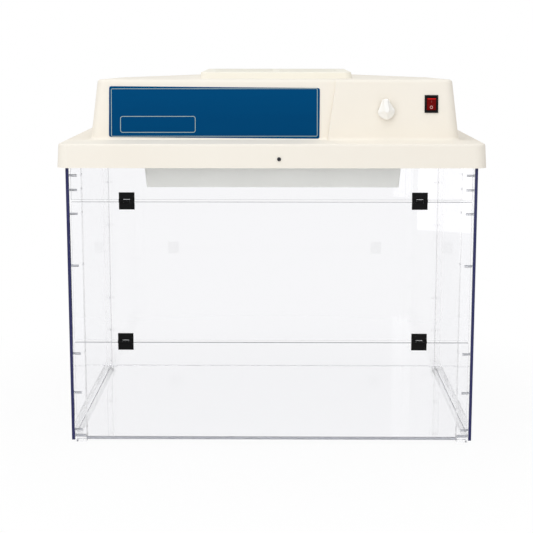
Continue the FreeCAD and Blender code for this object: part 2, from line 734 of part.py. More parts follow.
def hood_core():
    """The room inside the hood: the wide part behind the rim and the leaning part above the shelf."""
    rim_room = new_body("rim_room")
    inset = "(rim_lean + skin)"
    pad(rim_room, rectangle(new_sketch(rim_room, "XY_Plane", "rim_bottom"), f"{inset} - {RIM_X}",
                            f"{RIM_X} - {inset}", f"{inset} - {RIM_Y}", f"{RIM_Y} - {inset}"),
        "rim_height - skin")
    round_edges(rim_room, "rim_corner - skin", is_upright)
    upper_room = new_body("upper_room")
    upper_form(upper_room, "skin", SHELF_UNDER, ROOF)
    low = number(RIDGE) - SIZES["skin"]
    high = number(RIDGE) + SIZES["ridge_lean"] + 2 * SIZES["skin"]
    round_edges(upper_room, "hood_corner - skin",
                lambda edge: is_upright(edge) and not (low < edge.BoundBox.XMin < high))
    slope_roof(upper_room, "skin")
    seat = block("intake_seat", f"2 * {SEAT_HALF}", f"2 * {SEAT_HALF}", "roof_fall + skin * 2",
                 f"intake_shift - {SEAT_HALF}", f"-{SEAT_HALF}", ROOF_SEAT)
    return rim_room, cut("roof_room", upper_room, seat)


def hood_openings():
    """Cutters for the intake, the switch, the speed control's bush, the inlet and the rim screws."""
    intake = block("intake_cutter", f"2 * {INTAKE_HALF}", f"2 * {INTAKE_HALF}",
                   "roof_fall + plinth_proud + skin * 3", f"intake_shift - {INTAKE_HALF}",
                   f"-{INTAKE_HALF}", f"{ROOF_SEAT} - skin")
    switch = new_body("switch_cutter")
    half_x, half_y = "(switch_body_width / 2 + switch_fit)", "(switch_body_height / 2 + switch_fit)"
    pad(switch, rectangle(new_sketch(switch, "XY_Plane", "-3 * skin"), f"-{half_x}", half_x, f"-{half_y}",
                          half_y),
        "4 * skin")
    on_front_face(switch, SWITCH_X, "switch_up", "ridge_proud")
    bush = new_body("bush_cutter")
    pad(bush, circle(new_sketch(bush, "XY_Plane", "-3 * skin"), "0", "0", "bush_radius + bush_play"),
        "4 * skin")
    on_front_face(bush, KNOB_X, "knob_up", "ridge_proud")
    inlet = new_body("inlet_cutter")
    wide, tall = "(inlet_body_width / 2 + switch_fit)", "(inlet_body_height / 2 + switch_fit)"
    pad(inlet, rectangle(new_sketch(inlet, "XY_Plane", "-3 * skin"), f"-{wide}", wide, f"-{tall}", tall),
        "4 * skin")
    on_back_face(inlet, INLET_X, "inlet_up")
    across = rod("rim_cutter_across", HOLE_RADIUS, f"2 * {RIM_X} + 2", f"-{RIM_X} - 1", "0",
                 RIM_SCREW_LEVEL, Y_AXIS, "90")
    front = rod("rim_cutter_front", HOLE_RADIUS, RIM_Y, "rim_screw_across", "-1", RIM_SCREW_LEVEL,
                X_AXIS, "90")
    back = rod("rim_cutter_back", HOLE_RADIUS, RIM_Y, "0", "1", RIM_SCREW_LEVEL, X_AXIS, "-90")
    return intake, switch, bush, inlet, across, front, back


node(cut("hood_shell", hood_blank(), *hood_core(), *hood_openings()), "hood_shell")


# Screws through the rim into the cabinet, each with a sleeve that bridges the gap behind the rim
def rim_screw_set():
    screws, sleeves = [], []
    lean_in = "(rim_lean * (rim_screw_up - screw_head_radius) / rim_height)"
    for name, x, y, axis, turn, gap, thick, box_x, box_y in (
            ("left", f"{lean_in} - {RIM_X}", "0", Y_AXIS, "90", "rim_side_gap", "wall", BOX_LEFT, "0"),
            ("right", f"{RIM_X} - {lean_in}", "0", Y_AXIS, "-90", "rim_side_gap", "wall", "box_width / 2",
             "0"),
            ("front", "rim_screw_across", f"{lean_in} - {RIM_Y}", X_AXIS, "-90", "rim_end_gap", "panel_thick",
             "rim_screw_across", BOX_FRONT),
            ("back", "0", f"{RIM_Y} - {lean_in}", X_AXIS, "90", "rim_end_gap", "wall", "0", BOX_BACK)):
        shank = rod(f"rim_{name}_shank", "screw_radius", f"skin + rim_lean - {lean_in} + {gap} + {thick} - 1",
                    x, y, RIM_SCREW_LEVEL, axis, turn)
        head = doc.addObject("Part::Cone", f"rim_{name}_head")
        bind(head, "Radius1", "screw_head_radius")
        bind(head, "Radius2", "screw_radius")
        bind(head, "Height", "screw_head_height")
        place(head, x, y, RIM_SCREW_LEVEL, f"180 + {turn}", axis)
        screws.append(fuse(f"rim_{name}_screw", head, shank))
        outer = rod(f"rim_{name}_sleeve_outside", "rim_sleeve_radius", gap, box_x, box_y, RIM_SCREW_LEVEL,
                    axis,
                    f"180 + {turn}")
        bore = rod(f"rim_{name}_sleeve_bore", HOLE_RADIUS, gap, box_x, box_y, RIM_SCREW_LEVEL, axis,
                   f"180 + {turn}")
        sleeves.append(cut(f"rim_{name}_sleeve", outer, bore))
    for label, pieces in (("rim_screws", screws), ("rim_sleeves", sleeves)):
        group = doc.addObject("Part::Compound", label)
        group.Links = pieces
        node(group, label)


rim_screw_set()


# Pre-filter: a slotted cover and a fibre pad over the intake
def prefilter_cover():
    body = new_body("prefilter_cover")
    half = "(cover_side / 2)"
    leaning_form(body, f"-{half}", half, f"-{half}", half, "0", "cover_height", "cover_lean")
    round_edges(body, "cover_corner", is_upright)
    top = SIZES["cover_height"]
    round_edges(body, "cover_round", lambda edge: lies_between(edge, top, top))
    pocket(body, rectangle(new_sketch(body, "XY_Plane"), f"-{COVER_ROOM}", COVER_ROOM, f"-{COVER_ROOM}",
                           COVER_ROOM),
           "cover_height - cover_skin", reverse=True)
    first = "(-(slot_count - 1) * slot_pitch / 2)"
    slots = new_sketch(body, "XY_Plane", "cover_height - 2 * cover_skin")
    for inner, outer in (("slot_mid_gap / 2", f"{COVER_ROOM} - slot_margin"),
                         (f"slot_margin - {COVER_ROOM}", "-slot_mid_gap / 2")):
        rectangle(slots, inner, outer, f"{first} - slot_width / 2", f"{first} + slot_width / 2")
    slot = pocket(body, slots, "3 * cover_skin", reverse=True)
    rows = body.newObject("PartDesign::LinearPattern", "cover_slot_rows")
    rows.Originals = [slot]
    rows.Direction = (slots, ["V_Axis"])
    bind(rows, "Length", "(slot_count - 1) * slot_pitch")
    bind(rows, "Occurrences", "slot_count")
    body.Tip = rows
    place(body, "intake_shift", "0", PLINTH)
    return node(body, "prefilter_cover")


prefilter_cover()
node(block("prefilter_pad", f"2 * {PAD_HALF}", f"2 * {PAD_HALF}", "pad_thick", f"intake_shift - {PAD_HALF}",
           f"-{PAD_HALF}", PLINTH), "prefilter_pad")


# Fan: an inlet ring on a plate under the roof's flat seat, and a motor that hangs from the plate on spacers
def fan_plate():
    body = new_body("fan_plate")
    half = FAN_PLATE_HALF
    pad(body, rectangle(new_sketch(body, "XY_Plane"), f"-{half}", half, f"-{half}", half), "fan_plate_thick")
    pocket(body, circle(new_sketch(body, "XY_Plane"), "0", "0", "fan_inlet_radius + bell_flare"),
           "fan_plate_thick", reverse=True)
    throat, flare = "fan_inlet_radius", "(fan_inlet_radius + bell_flare)"
    bell = outline(new_sketch(body, "XZ_Plane"), [
        (throat, "-bell_depth"), (f"{throat} + bell_wall", "-bell_depth"),
        (f"{throat} + bell_wall", "-bell_depth * 0.6"),
        (f"{throat} + bell_flare * 0.35", "-bell_depth * 0.28"),
        (f"{flare} + bell_wall", "0"), (f"{flare} + bell_wall", "fan_plate_thick"),
        (flare, "fan_plate_thick"), (f"{throat} + bell_flare * 0.25", "-bell_depth * 0.15"),
        (throat, "-bell_depth * 0.6")])
    revolve(body, bell)
    place(body, "intake_shift", "0", FAN_PLATE_UNDER)
    return node(body, "fan_plate")


def motor_plate():
    """Hub disc with four arms that reach out under the spacers."""
    body = new_body("motor_plate")
    pad(body, circle(new_sketch(body, "XY_Plane"), "0", "0", "motor_plate_hub"), "motor_plate_thick")
    arm_sketch = rectangle(new_sketch(body, "XY_Plane"), "0", "spacer_circle + motor_arm_width / 2",
                           "-motor_arm_width / 2", "motor_arm_width / 2")
    arm = pad(body, arm_sketch, "motor_plate_thick")
    arms = body.newObject("PartDesign::PolarPattern", "motor_arms")
    arms.Originals = [arm]
    arms.Axis = (arm_sketch, ["N_Axis"])
    arms.Angle = 360
    arms.Occurrences = 4
    body.Tip = arms
    place(body, "intake_shift", "0", MOTOR_PLATE_UNDER, "45", Z_AXIS)
    return node(body, "motor_plate")


def fan_spacers():
    reach = "spacer_circle * cos(45)"
    spacers = [rod(f"spacer_{k}", "spacer_radius", FAN_DROP, f"intake_shift + {sx} * {reach}",
                   f"{sy} * {reach}",
                   MOTOR_PLATE_TOP) for k, (sx, sy) in enumerate(((1, 1), (-1, 1), (-1, -1), (1, -1)), 1)]
    group = doc.addObject("Part::Compound", "fan_spacers")
    group.Links = spacers
    return node(group, "fan_spacers")


def turned_part(label, corners, level):
    """A piece turned about the fan's upright axis from a profile of radius and height pairs."""
    body = new_body(label)
    revolve(body, outline(new_sketch(body, "XZ_Plane"), corners))
    place(body, "intake_shift", "0", level)
    return body


def impeller():
    """Backward-curved blades between a back plate and a coned shroud, round the rotor cup."""
    high, eye = IMPELLER_HEIGHT, EYE
    body = turned_part("impeller", [
        ("cup_radius", "0"), ("impeller_radius", "0"), ("impeller_radius", "impeller_sheet"),
        ("cup_radius + impeller_sheet", "impeller_sheet"),
        ("cup_radius + impeller_sheet", "impeller_sheet * 6"),
        ("cup_radius", "impeller_sheet * 6")], f"{MOTOR_PLATE_TOP} + {IMPELLER_LIFT}")
    blade_sketch = new_sketch(body, "XY_Plane", "impeller_sheet / 2")
    reach = 80
    for radius in (reach, reach - 2):
        blade_sketch.addGeometry(Part.ArcOfCircle(Part.Circle(V(0, -radius, 0), Z_AXIS, radius),
                                                  math.radians(35), math.radians(75)))
    ends = [(blade_sketch.getPoint(0, end), blade_sketch.getPoint(1, end)) for end in (1, 2)]
    for outside, inside in ends:
        blade_sketch.addGeometry(Part.LineSegment(outside, inside))
    tie = Sketcher.Constraint
    for constraint in (tie("Coincident", 0, 3, 1, 3), tie("Coincident", 2, 1, 0, 1),
                       tie("Coincident", 2, 2, 1, 1),
                       tie("Coincident", 3, 1, 0, 2), tie("Coincident", 3, 2, 1, 2)):
        blade_sketch.addConstraint(constraint)
    for edge, text in ((0, "blade_curve"), (1, "blade_curve - blade_thick")):
        number = blade_sketch.addConstraint(tie("Radius", edge, blade_sketch.Geometry[edge].Radius))
        bind(blade_sketch, f"Constraints[{number}]", text)
    pin_point(blade_sketch, "DistanceX", 0, 3, "0")
    pin_point(blade_sketch, "DistanceY", 0, 3, "-blade_curve * 0.72")
    for edge in (0, 1):
        pin_point(blade_sketch, "Distance", edge, 1, "impeller_radius - 0.5")
        pin_point(blade_sketch, "Distance", edge, 2, "cup_radius + blade_root_gap")
    blade = pad(body, blade_sketch, f"{high} - impeller_slope")
    blades = body.newObject("PartDesign::PolarPattern", "impeller_blades")
    blades.Originals = [blade]
    blades.Axis = (blade_sketch, ["N_Axis"])
    blades.Angle = 360
    bind(blades, "Occurrences", "blade_count")
    body.Tip = blades
    doc.recompute()
    shroud_low = f"({high} - impeller_slope)"
    revolve(body, outline(new_sketch(body, "XZ_Plane"), [
        (eye, f"{high} - impeller_sheet"), (f"{eye} + 6", f"{high} - impeller_sheet - 1"),
        ("impeller_radius", f"{shroud_low} - impeller_sheet"), ("impeller_radius", shroud_low),
        (f"{eye} + 6", f"{high} + 1"), (f"{eye} + 2", f"{high} + impeller_collar"),
        (eye, f"{high} + impeller_collar")]))
    return node(body, "impeller")


STATOR_RADIUS = "(cup_radius - cup_wall - stator_gap)"
fan_plate()
motor_plate()
fan_spacers()
node(turned_part("fan_motor", [
    ("shaft_radius + shaft_play", "0"), ("motor_base_radius", "0"), ("motor_base_radius", "motor_base_thick"),
    ("bearing_radius + 2", "motor_base_thick"), ("bearing_radius + 2", "motor_base_thick + motor_gap * 2"),
    (STATOR_RADIUS, "motor_base_thick + motor_gap * 2"),
    (STATOR_RADIUS, "motor_base_thick + motor_gap * 2 + stator_height"),
    ("bearing_radius", "motor_base_thick + motor_gap * 2 + stator_height"),
    ("bearing_radius", "cup_height - cup_wall + 1"),
    ("shaft_radius + shaft_play", "cup_height - cup_wall + 1")],
    MOTOR_PLATE_TOP), "fan_motor")
node(turned_part("rotor_cup", [
    ("shaft_radius", "cup_height - cup_wall"), ("cup_radius - cup_wall", "cup_height - cup_wall"),
    ("cup_radius - cup_wall", "0"), ("cup_radius", "0"), ("cup_radius", "cup_height"),
    ("shaft_radius", "cup_height")], f"{MOTOR_PLATE_TOP} + {IMPELLER_LIFT}"), "rotor_cup")
node(rod("motor_shaft", "shaft_radius", "cup_height + motor_base_thick + motor_gap - 1", "intake_shift", "0",
         f"{MOTOR_PLATE_TOP} + 1"), "motor_shaft")
impeller()


# Ceiling plate, main filter and the bars that clamp it down
def framed_sheet(label, length, width, opening_length, opening_width, thick, centre, level):
    """A flat rectangle with a rectangular opening in its middle."""
    body = new_body(label)
    pad(body, rectangle(new_sketch(body, "XY_Plane"), f"-{length} / 2", f"{length} / 2", f"-{width} / 2",
                        f"{width} / 2"), thick)
    pocket(body, rectangle(new_sketch(body, "XY_Plane"), f"-{opening_length} / 2", f"{opening_length} / 2",
                           f"-{opening_width} / 2", f"{opening_width} / 2"), thick, reverse=True)
    place(body, "0", centre, level)
    return node(body, label)


def ceiling_plate():
    """White plate that closes the hood from below and rests on the posts' tops."""
    body = new_body("ceiling_plate")
    side, front = f"({INNER_RIGHT} - ceiling_gap)", f"({BOX_FRONT} + panel_thick + ceiling_gap)"
    back = f"({BOX_BACK} - wall - ceiling_gap)"
    pad(body, rectangle(new_sketch(body, "XY_Plane"), f"-{side}", side, front, back), "ceiling_thick")
    window_x = f"({FILTER_LENGTH} / 2 - filter_frame_wall)"
    window_y = "(filter_width / 2 - filter_frame_wall)"
    pocket(body, rectangle(new_sketch(body, "XY_Plane"), f"-{window_x}", window_x,
                           f"filter_place - {window_y}",
                           f"filter_place + {window_y}"), "ceiling_thick", reverse=True)
    place(body, "0", "0", "rim_bottom")
    return node(body, "ceiling_plate")


def filter_media():
    """Pleated pack that fills the frame: one folded pleat, repeated along the frame."""
    body = new_body("filter_media")
    low, high = "pleat_inset", "(filter_height - pleat_inset)"
    count = f"floor(({FILTER_LENGTH} - 2 * filter_frame_wall) / pleat_pitch)"
    start = f"(-{count} * pleat_pitch / 2)"
    profile = outline(new_sketch(body, "XZ_Plane", "filter_frame_wall - filter_width / 2"), [
        (start, low), (f"{start} + pleat_sheet", low),
        (f"{start} + pleat_pitch / 2", f"{high} - pleat_sheet * 4"),
        (f"{start} + pleat_pitch - pleat_sheet", low), (f"{start} + pleat_pitch", low),
        (f"{start} + pleat_pitch", f"{low} + pleat_sheet"), (f"{start} + pleat_pitch / 2", high),
        (start, f"{low} + pleat_sheet")])
    pleat = pad(body, profile, "filter_width - 2 * filter_frame_wall")
    pleats = body.newObject("PartDesign::LinearPattern", "filter_pleats")
    pleats.Originals = [pleat]
    pleats.Direction = (profile, ["H_Axis"])
    bind(pleats, "Length", f"({count} - 1) * pleat_pitch")
    bind(pleats, "Occurrences", count)
    body.Tip = pleats
    place(body, "0", "filter_place", FILTER_BOTTOM)
    return node(body, "filter_media")


def clamp_bars():
    """Two bent bars: a foot on the ceiling plate, a riser beside the filter and a lip over its frame."""
    bars = []
    rise = "(gasket_thick + filter_height)"
    for name, hand in (("front", 1), ("back", -1)):
        body = new_body(f"clamp_{name}")
        outline(new_sketch(body, "YZ_Plane", f"clamp_end_room - {FILTER_LENGTH} / 2"), [
            (f"{hand} * -clamp_foot", "0"), ("0", "0"), ("0", rise), (f"{hand} * clamp_lip", rise),
            (f"{hand} * clamp_lip", f"{rise} + clamp_sheet"),
            (f"{hand} * -clamp_sheet", f"{rise} + clamp_sheet"),
            (f"{hand} * -clamp_sheet", "clamp_sheet"), (f"{hand} * -clamp_foot", "clamp_sheet")])
        pad(body, body.Group[-1], f"{FILTER_LENGTH} - 2 * clamp_end_room")
        place(body, "0", f"filter_place - {hand} * filter_width / 2", CEILING_TOP)
        bars.append(body)
    group = doc.addObject("Part::Compound", "filter_clamps")
    group.Links = bars
    return node(group, "filter_clamps")


WINDOW = (f"({FILTER_LENGTH} - 2 * filter_frame_wall)", "(filter_width - 2 * filter_frame_wall)")
ceiling_plate()
framed_sheet("filter_gasket", FILTER_LENGTH, "filter_width", *WINDOW, "gasket_thick", "filter_place",
             CEILING_TOP)
framed_sheet("filter_frame", FILTER_LENGTH, "filter_width", *WINDOW, "filter_height", "filter_place",
             FILTER_BOTTOM)
filter_media()
clamp_bars()

# Lamps under the front of the ceiling plate
LAMP_LENGTH = "(tube_length + 2 * lamp_end_room)"
LAMP_DEPTH = ("(2 * (tube_spread + tube_radius + tube_cap_extra + lamp_side_room + lamp_box_skin"
              " + lamp_box_lean))")
LAMP_FRONT = f"({BOX_FRONT} + lamp_box_setback)"
LAMP_MIDDLE = f"({LAMP_FRONT} + {LAMP_DEPTH} / 2)"
TUBE_LEVEL = "(rim_bottom - tube_drop)"


def lamp_form(name, inset, drop):
    """Box that narrows downwards, hung under the ceiling plate."""
    body = new_body(name)
    half, deep = f"({LAMP_LENGTH} / 2 - {inset})", f"({LAMP_DEPTH} / 2 - {inset})"
    low_half, low_deep = f"({half} - lamp_box_lean)", f"({deep} - lamp_box_lean)"
    wedge(body, f"-{low_half}", low_half, f"-{low_deep}", low_deep, "-lamp_box_height", f"-{drop}",
          f"-{half}",
          half, f"-{deep}", deep)
    round_edges(body, f"max(lamp_box_corner - {inset}; 0.5)", is_upright)
    place(body, "lamp_box_shift", LAMP_MIDDLE, "rim_bottom")
    return body


def lamp_tube(label, hand):
    """Glass tube with metal caps and two pins at each end."""
    body = new_body(label + "_glass")
    half, cap = "(tube_length / 2)", "tube_cap_length"
    fat = "(tube_radius + tube_cap_extra)"
    profile = outline(new_sketch(body, "XZ_Plane"), [
        (f"-{half}", "0"), (half, "0"), (half, fat), (f"{half} - {cap}", fat),
        (f"{half} - {cap}", "tube_radius"),
        (f"{cap} - {half}", "tube_radius"), (f"{cap} - {half}", fat), (f"-{half}", fat)])
    revolve(body, profile, "H_Axis")
    across = f"{LAMP_MIDDLE} + {hand} * tube_spread"
    place(body, "lamp_box_shift", across, TUBE_LEVEL)
    pins = [rod(f"{label}_pin_{k}", "tube_pin_radius", "tube_pin_length + 1",
                f"lamp_box_shift + {end} * (tube_length / 2 - 1)", f"{across} + {side} * tube_pin_spread",
                TUBE_LEVEL, Y_AXIS, f"{end} * 90")
            for k, (end, side) in enumerate(((1, 1), (1, -1), (-1, 1), (-1, -1)), 1)]
    return node(fuse(label, body, *pins), label)


def lamp_holders(label, hand):
    """Pair of holders that hang inside the lamp box and grip a tube's pins."""
    pair = []
    across = f"({LAMP_MIDDLE} + {hand} * tube_spread)"
    for name, end in (("left", -1), ("right", 1)):
        body = new_body(f"{label}_{name}")
        wide = "(holder_width / 2)"
        pad(body, rectangle(new_sketch(body, "XZ_Plane", f"-{wide}"), "0", "holder_thick",
                            "-tube_drop - holder_reach / 2", "-lamp_box_skin"), "holder_width", reverse=False)
        slots = new_sketch(body, "YZ_Plane")
        for side in (-1, 1):
            middle = f"{side} * tube_pin_spread"
            rectangle(slots, f"{middle} - tube_pin_radius - 0.1", f"{middle} + tube_pin_radius + 0.1",
                      "-tube_drop - holder_reach", "-tube_drop + tube_pin_radius + 0.1")
        pocket(body, slots, "tube_pin_length + 1", reverse=True)
        place(body, f"lamp_box_shift + {end} * (tube_length / 2 + 0.3)", across, "rim_bottom",
              "0" if end > 0 else "180", Z_AXIS)
        pair.append(body)
    group = doc.addObject("Part::Compound", label)
    group.Links = pair
    return node(group, label)


def ballast():
    """Lamp ballast: a steel case with a lug at each end, on top of the ceiling plate."""
    body = new_body("ballast")
    half, deep = "(ballast_length / 2)", "(ballast_width / 2)"
    pad(body, rectangle(new_sketch(body, "XY_Plane"), f"-{half} - ballast_lug", f"{half} + ballast_lug",
                        f"-{deep}", deep), "ballast_lug_thick")
    pad(body, rectangle(new_sketch(body, "XY_Plane"), f"-{half}", half, f"-{deep}", deep), "ballast_height")
    top = SIZES["ballast_height"]
    round_edges(body, "ballast_lug_thick", lambda edge: lies_between(edge, top, top))
    place(body, "lamp_box_shift", LAMP_MIDDLE, CEILING_TOP)
    return node(body, "ballast")


node(cut("lamp_box", lamp_form("lamp_box_outside", "0", "0"),
         lamp_form("lamp_box_room", "lamp_box_skin", "lamp_box_skin")),
     "lamp_box")
lamp_tube("white_tube", -1)
lamp_tube("ultraviolet_tube", 1)
lamp_holders("white_tube_holders", -1)
lamp_holders("ultraviolet_tube_holders", 1)
ballast()


# Nameplate and controls on the hood's leaning front
def nameplate():
    body = new_body("nameplate")
    left, right = f"({HOOD_LEFT} + plate_left_margin)", f"({RIDGE} - plate_right_margin)"
    rise = "(hood_height - plate_low_margin - plate_high_margin)"
    half, tall = f"(({right} - {left}) / 2)", f"({rise} / cos(atan(hood_lean / hood_height)) / 2)"
    sketch = rectangle(new_sketch(body, "XY_Plane"), f"-{half}", half, f"-{tall}", tall)
    sketch.AttachmentOffset = FreeCAD.Placement(V(), FreeCAD.Rotation(V(0, 0, -1), 1))
    bind(sketch, "AttachmentOffset.Rotation.Angle", "plate_tilt")
    pad(body, sketch, "plate_thick")
    round_edges(body, "plate_corner", is_upright)
    on_front_face(body, f"({left} + {right}) / 2", f"(plate_low_margin + {rise} / 2)")
    return node(body, "nameplate")


KNOB_LOW = "(nut_thick + bush_proud + knob_gap)"


def speed_knob():
    """Pointer knob: a stepped skirt with a tall grip bar across it, bored for the spindle."""
    body = new_body("speed_knob")
    low = KNOB_LOW
    revolve(body, outline(new_sketch(body, "XZ_Plane"), [
        ("0", low), ("knob_radius - 0.8", low), ("knob_radius", f"{low} + 0.8"),
        ("knob_shoulder", f"{low} + knob_skirt"), ("0", f"{low} + knob_skirt")]))
    wide, tall = "(grip_width / 2)", "(grip_length / 2)"
    wedge(body, f"-{wide}", wide, f"-{tall}", tall, low, f"{low} + grip_height", f"-{wide} + grip_lean",
          f"{wide} - grip_lean", f"-{tall} + grip_lean * 1.5", f"{tall} - grip_lean * 1.5")
    top = number(f"{KNOB_LOW} + grip_height")
    round_edges(body, "min(1.2; grip_lean / 2)", lambda edge: lies_between(edge, top, top))
    pocket(body, circle(new_sketch(body, "XY_Plane", low), "0", "0", "spindle_radius"),
           "spindle_seat", reverse=True)
    on_front_face(body, KNOB_X, "knob_up", "ridge_proud")
    return node(body, "speed_knob")


def face_rod(label, radius, low, high, hole=None):
    """Round piece on the speed control's line, between two heights above the hood's face."""
    body = new_body(label)
    profile = circle(new_sketch(body, "XY_Plane", low), "0", "0", radius)
    if hole:
        circle(profile, "0", "0", hole)
    pad(body, profile, f"{high} - ({low})")
    return on_front_face(body, KNOB_X, "knob_up", "ridge_proud")


def speed_control():
    """Control module behind the face, with a threaded bush that passes through it."""
    case = new_body("control_case")
    half = "(control_side / 2)"
    pad(case, rectangle(new_sketch(case, "XY_Plane", "-skin - control_depth"), f"-{half}", half, f"-{half}",
                        half),
        "control_depth")
    pocket(case, circle(new_sketch(case, "XY_Plane", "-skin"), "0", "0", "spindle_radius + spindle_play"),
           "control_depth / 2")
    on_front_face(case, KNOB_X, "knob_up", "ridge_proud")
    bush = face_rod("control_bush", "bush_radius", "-skin", "nut_thick + bush_proud",
                    "spindle_radius + spindle_play")
    return node(fuse("speed_control", case, bush), "speed_control")


def control_nut():
    """Hexagon nut that clamps the bush to the face."""
    body = new_body("control_nut")
    corners = [(f"nut_radius * cos({60 * k})", f"nut_radius * sin({60 * k})") for k in range(6)]
    profile = outline(new_sketch(body, "XY_Plane"), corners)
    circle(profile, "0", "0", "bush_radius")
    pad(body, profile, "nut_thick")
    on_front_face(body, KNOB_X, "knob_up", "ridge_proud")
    return node(body, "control_nut")


ROCKER_HALF = "(rocker_height / 2)"


def rocker_housing():
    """Switch frame with a shallow well for the rocker and a body that fills the hood's opening."""
    body = new_body("rocker_housing")
    wide, tall = "(bezel_width / 2)", "(bezel_height / 2)"
    pad(body, rectangle(new_sketch(body, "XY_Plane"), f"-{wide}", wide, f"-{tall}", tall), "bezel_thick")
    top = SIZES["bezel_thick"]
    round_edges(body, "bezel_round", lambda edge: lies_between(edge, top, top))
    in_wide, in_tall = "(switch_body_width / 2)", "(switch_body_height / 2)"
    pad(body, rectangle(new_sketch(body, "XY_Plane"), f"-{in_wide}", in_wide, f"-{in_tall}", in_tall),
        "switch_body_depth", reverse=True)
    well_x, well_y = "(rocker_width / 2 + rocker_play)", f"({ROCKER_HALF} + rocker_play * 2)"
    pocket(body, rectangle(new_sketch(body, "XY_Plane", "bezel_thick"), f"-{well_x}", well_x, f"-{well_y}",
                           well_y),
           "rocker_room")
    pivot = circle(new_sketch(body, "YZ_Plane", f"-{in_wide} + 0.5"), "0", "bezel_thick - rocker_pivot_depth",
                   "rocker_pivot_radius + shaft_play")
    pocket(body, pivot, "switch_body_width - 1", reverse=True)
    on_front_face(body, SWITCH_X, "switch_up", "ridge_proud")
    return node(body, "rocker_housing")


def power_rocker():
    """Rocker with a shallow V across its face and a pivot stub on each side, tipped to its off side."""
    body = new_body("power_rocker")
    half, deep = ROCKER_HALF, "rocker_pivot_depth"
    profile = outline(new_sketch(body, "YZ_Plane", "-rocker_width / 2"), [
        (f"-{half}", f"{deep} + rocker_tip"), (f"-{half} + 0.4", f"-rocker_under"),
        (f"-{half} * 0.55", "-rocker_under * 1.6"), (f"{half} * 0.55", "-rocker_under * 1.6"),
        (f"{half} - 0.4", "-rocker_under"), (half, f"{deep} + rocker_tip"), ("0", f"{deep} + rocker_dip")])
    pad(body, profile, "rocker_width")
    stub = circle(new_sketch(body, "YZ_Plane", "-rocker_width / 2 - rocker_play * 2.4"), "0", "0",
                  "rocker_pivot_radius")
    pad(body, stub, "rocker_width + rocker_play * 4.8")
    slope = "(hood_lean / sqrt(hood_lean * hood_lean + hood_height * hood_height))"
    upright = "(hood_height / sqrt(hood_lean * hood_lean + hood_height * hood_height))"
    lift = "(bezel_thick - rocker_pivot_depth)"
    place(body, SWITCH_X,
          f"-{HOOD_Y} - ridge_proud + switch_up * hood_lean / hood_height - {lift} * {upright}",
          f"{HOOD_FOOT} + switch_up + {lift} * {slope}", f"{FACE_TURN} + rocker_tilt * 1 deg")
    return node(body, "power_rocker")


nameplate()
speed_control()
control_nut()
node(face_rod("control_spindle", "spindle_radius", "-skin - control_depth / 3", f"{KNOB_LOW} + spindle_seat"),
     "control_spindle")
speed_knob()
rocker_housing()
power_rocker()


# Power inlet on the hood's back
def power_inlet():
    """Screw-on inlet: a flange, a body through the wall and a recess with two cut corners."""
    body = new_body("power_inlet")
    wide, tall = "(inlet_flange_width / 2)", "(inlet_flange_height / 2)"
    pad(body, rectangle(new_sketch(body, "XY_Plane"), f"-{wide}", wide, f"-{tall}", tall),
        "inlet_flange_thick")
    round_edges(body, "inlet_flange_height / 4", is_upright)
    in_wide, in_tall = "(inlet_body_width / 2)", "(inlet_body_height / 2)"
    pad(body, rectangle(new_sketch(body, "XY_Plane"), f"-{in_wide}", in_wide, f"-{in_tall}", in_tall),
        "inlet_body_depth", reverse=True)
    mouth_x, mouth_y, chamfer = "(inlet_mouth_width / 2)", "(inlet_mouth_height / 2)", "inlet_mouth_cut"
    mouth = outline(new_sketch(body, "XY_Plane", "inlet_flange_thick"), [
        (f"-{mouth_x}", mouth_y), (f"-{mouth_x}", f"-{mouth_y} + {chamfer}"),
        (f"-{mouth_x} + {chamfer}", f"-{mouth_y}"),
        (f"{mouth_x} - {chamfer}", f"-{mouth_y}"), (mouth_x, f"-{mouth_y} + {chamfer}"), (mouth_x, mouth_y)])
    pocket(body, mouth, "inlet_mouth_depth")
    on_back_face(body, INLET_X, "inlet_up")
    return node(body, "power_inlet")


def inlet_pins():
    """Three flat pins that stand in the inlet's recess."""
    body = new_body("inlet_pins")
    floor_level = "(inlet_flange_thick - inlet_mouth_depth)"
    profile = new_sketch(body, "XY_Plane", floor_level)
    wide, tall = "(inlet_pin_width / 2)", "(inlet_pin_height / 2)"
    for x, y in (("-inlet_pin_spread", "inlet_pin_offset"), ("0", "-inlet_pin_offset"),
                 ("inlet_pin_spread", "inlet_pin_offset")):
        rectangle(profile, f"{x} - {wide}", f"{x} + {wide}", f"{y} - {tall}", f"{y} + {tall}")
    pad(body, profile, "inlet_pin_length")
    on_back_face(body, INLET_X, "inlet_up")
    return node(body, "inlet_pins")


power_inlet()
inlet_pins()

doc.recompute()
faults = [thing.Name for thing in doc.Objects if "Invalid" in thing.State or "Error" in thing.State]
faults += [piece.Label for piece in nodes if piece.Shape.isNull() or not piece.Shape.isValid()]
if faults:
    raise ValueError("failed: " + ", ".join(faults))
os.makedirs("parts", exist_ok=True)
for piece in nodes:
    piece.Shape.exportStep(f"parts/{piece.Label}.step")
print(f"{len(nodes)} sub-parts written")
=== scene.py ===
"""Looks, lamps and camera of a bench-top clean cabinet: a clear box under a moulded hood."""

import json
import logging
import math
from dataclasses import dataclass
from enum import Enum
from typing import Any, Iterable, Sequence

import bmesh
import bpy
from mathutils import Matrix, Vector
from mathutils.bvhtree import BVHTree

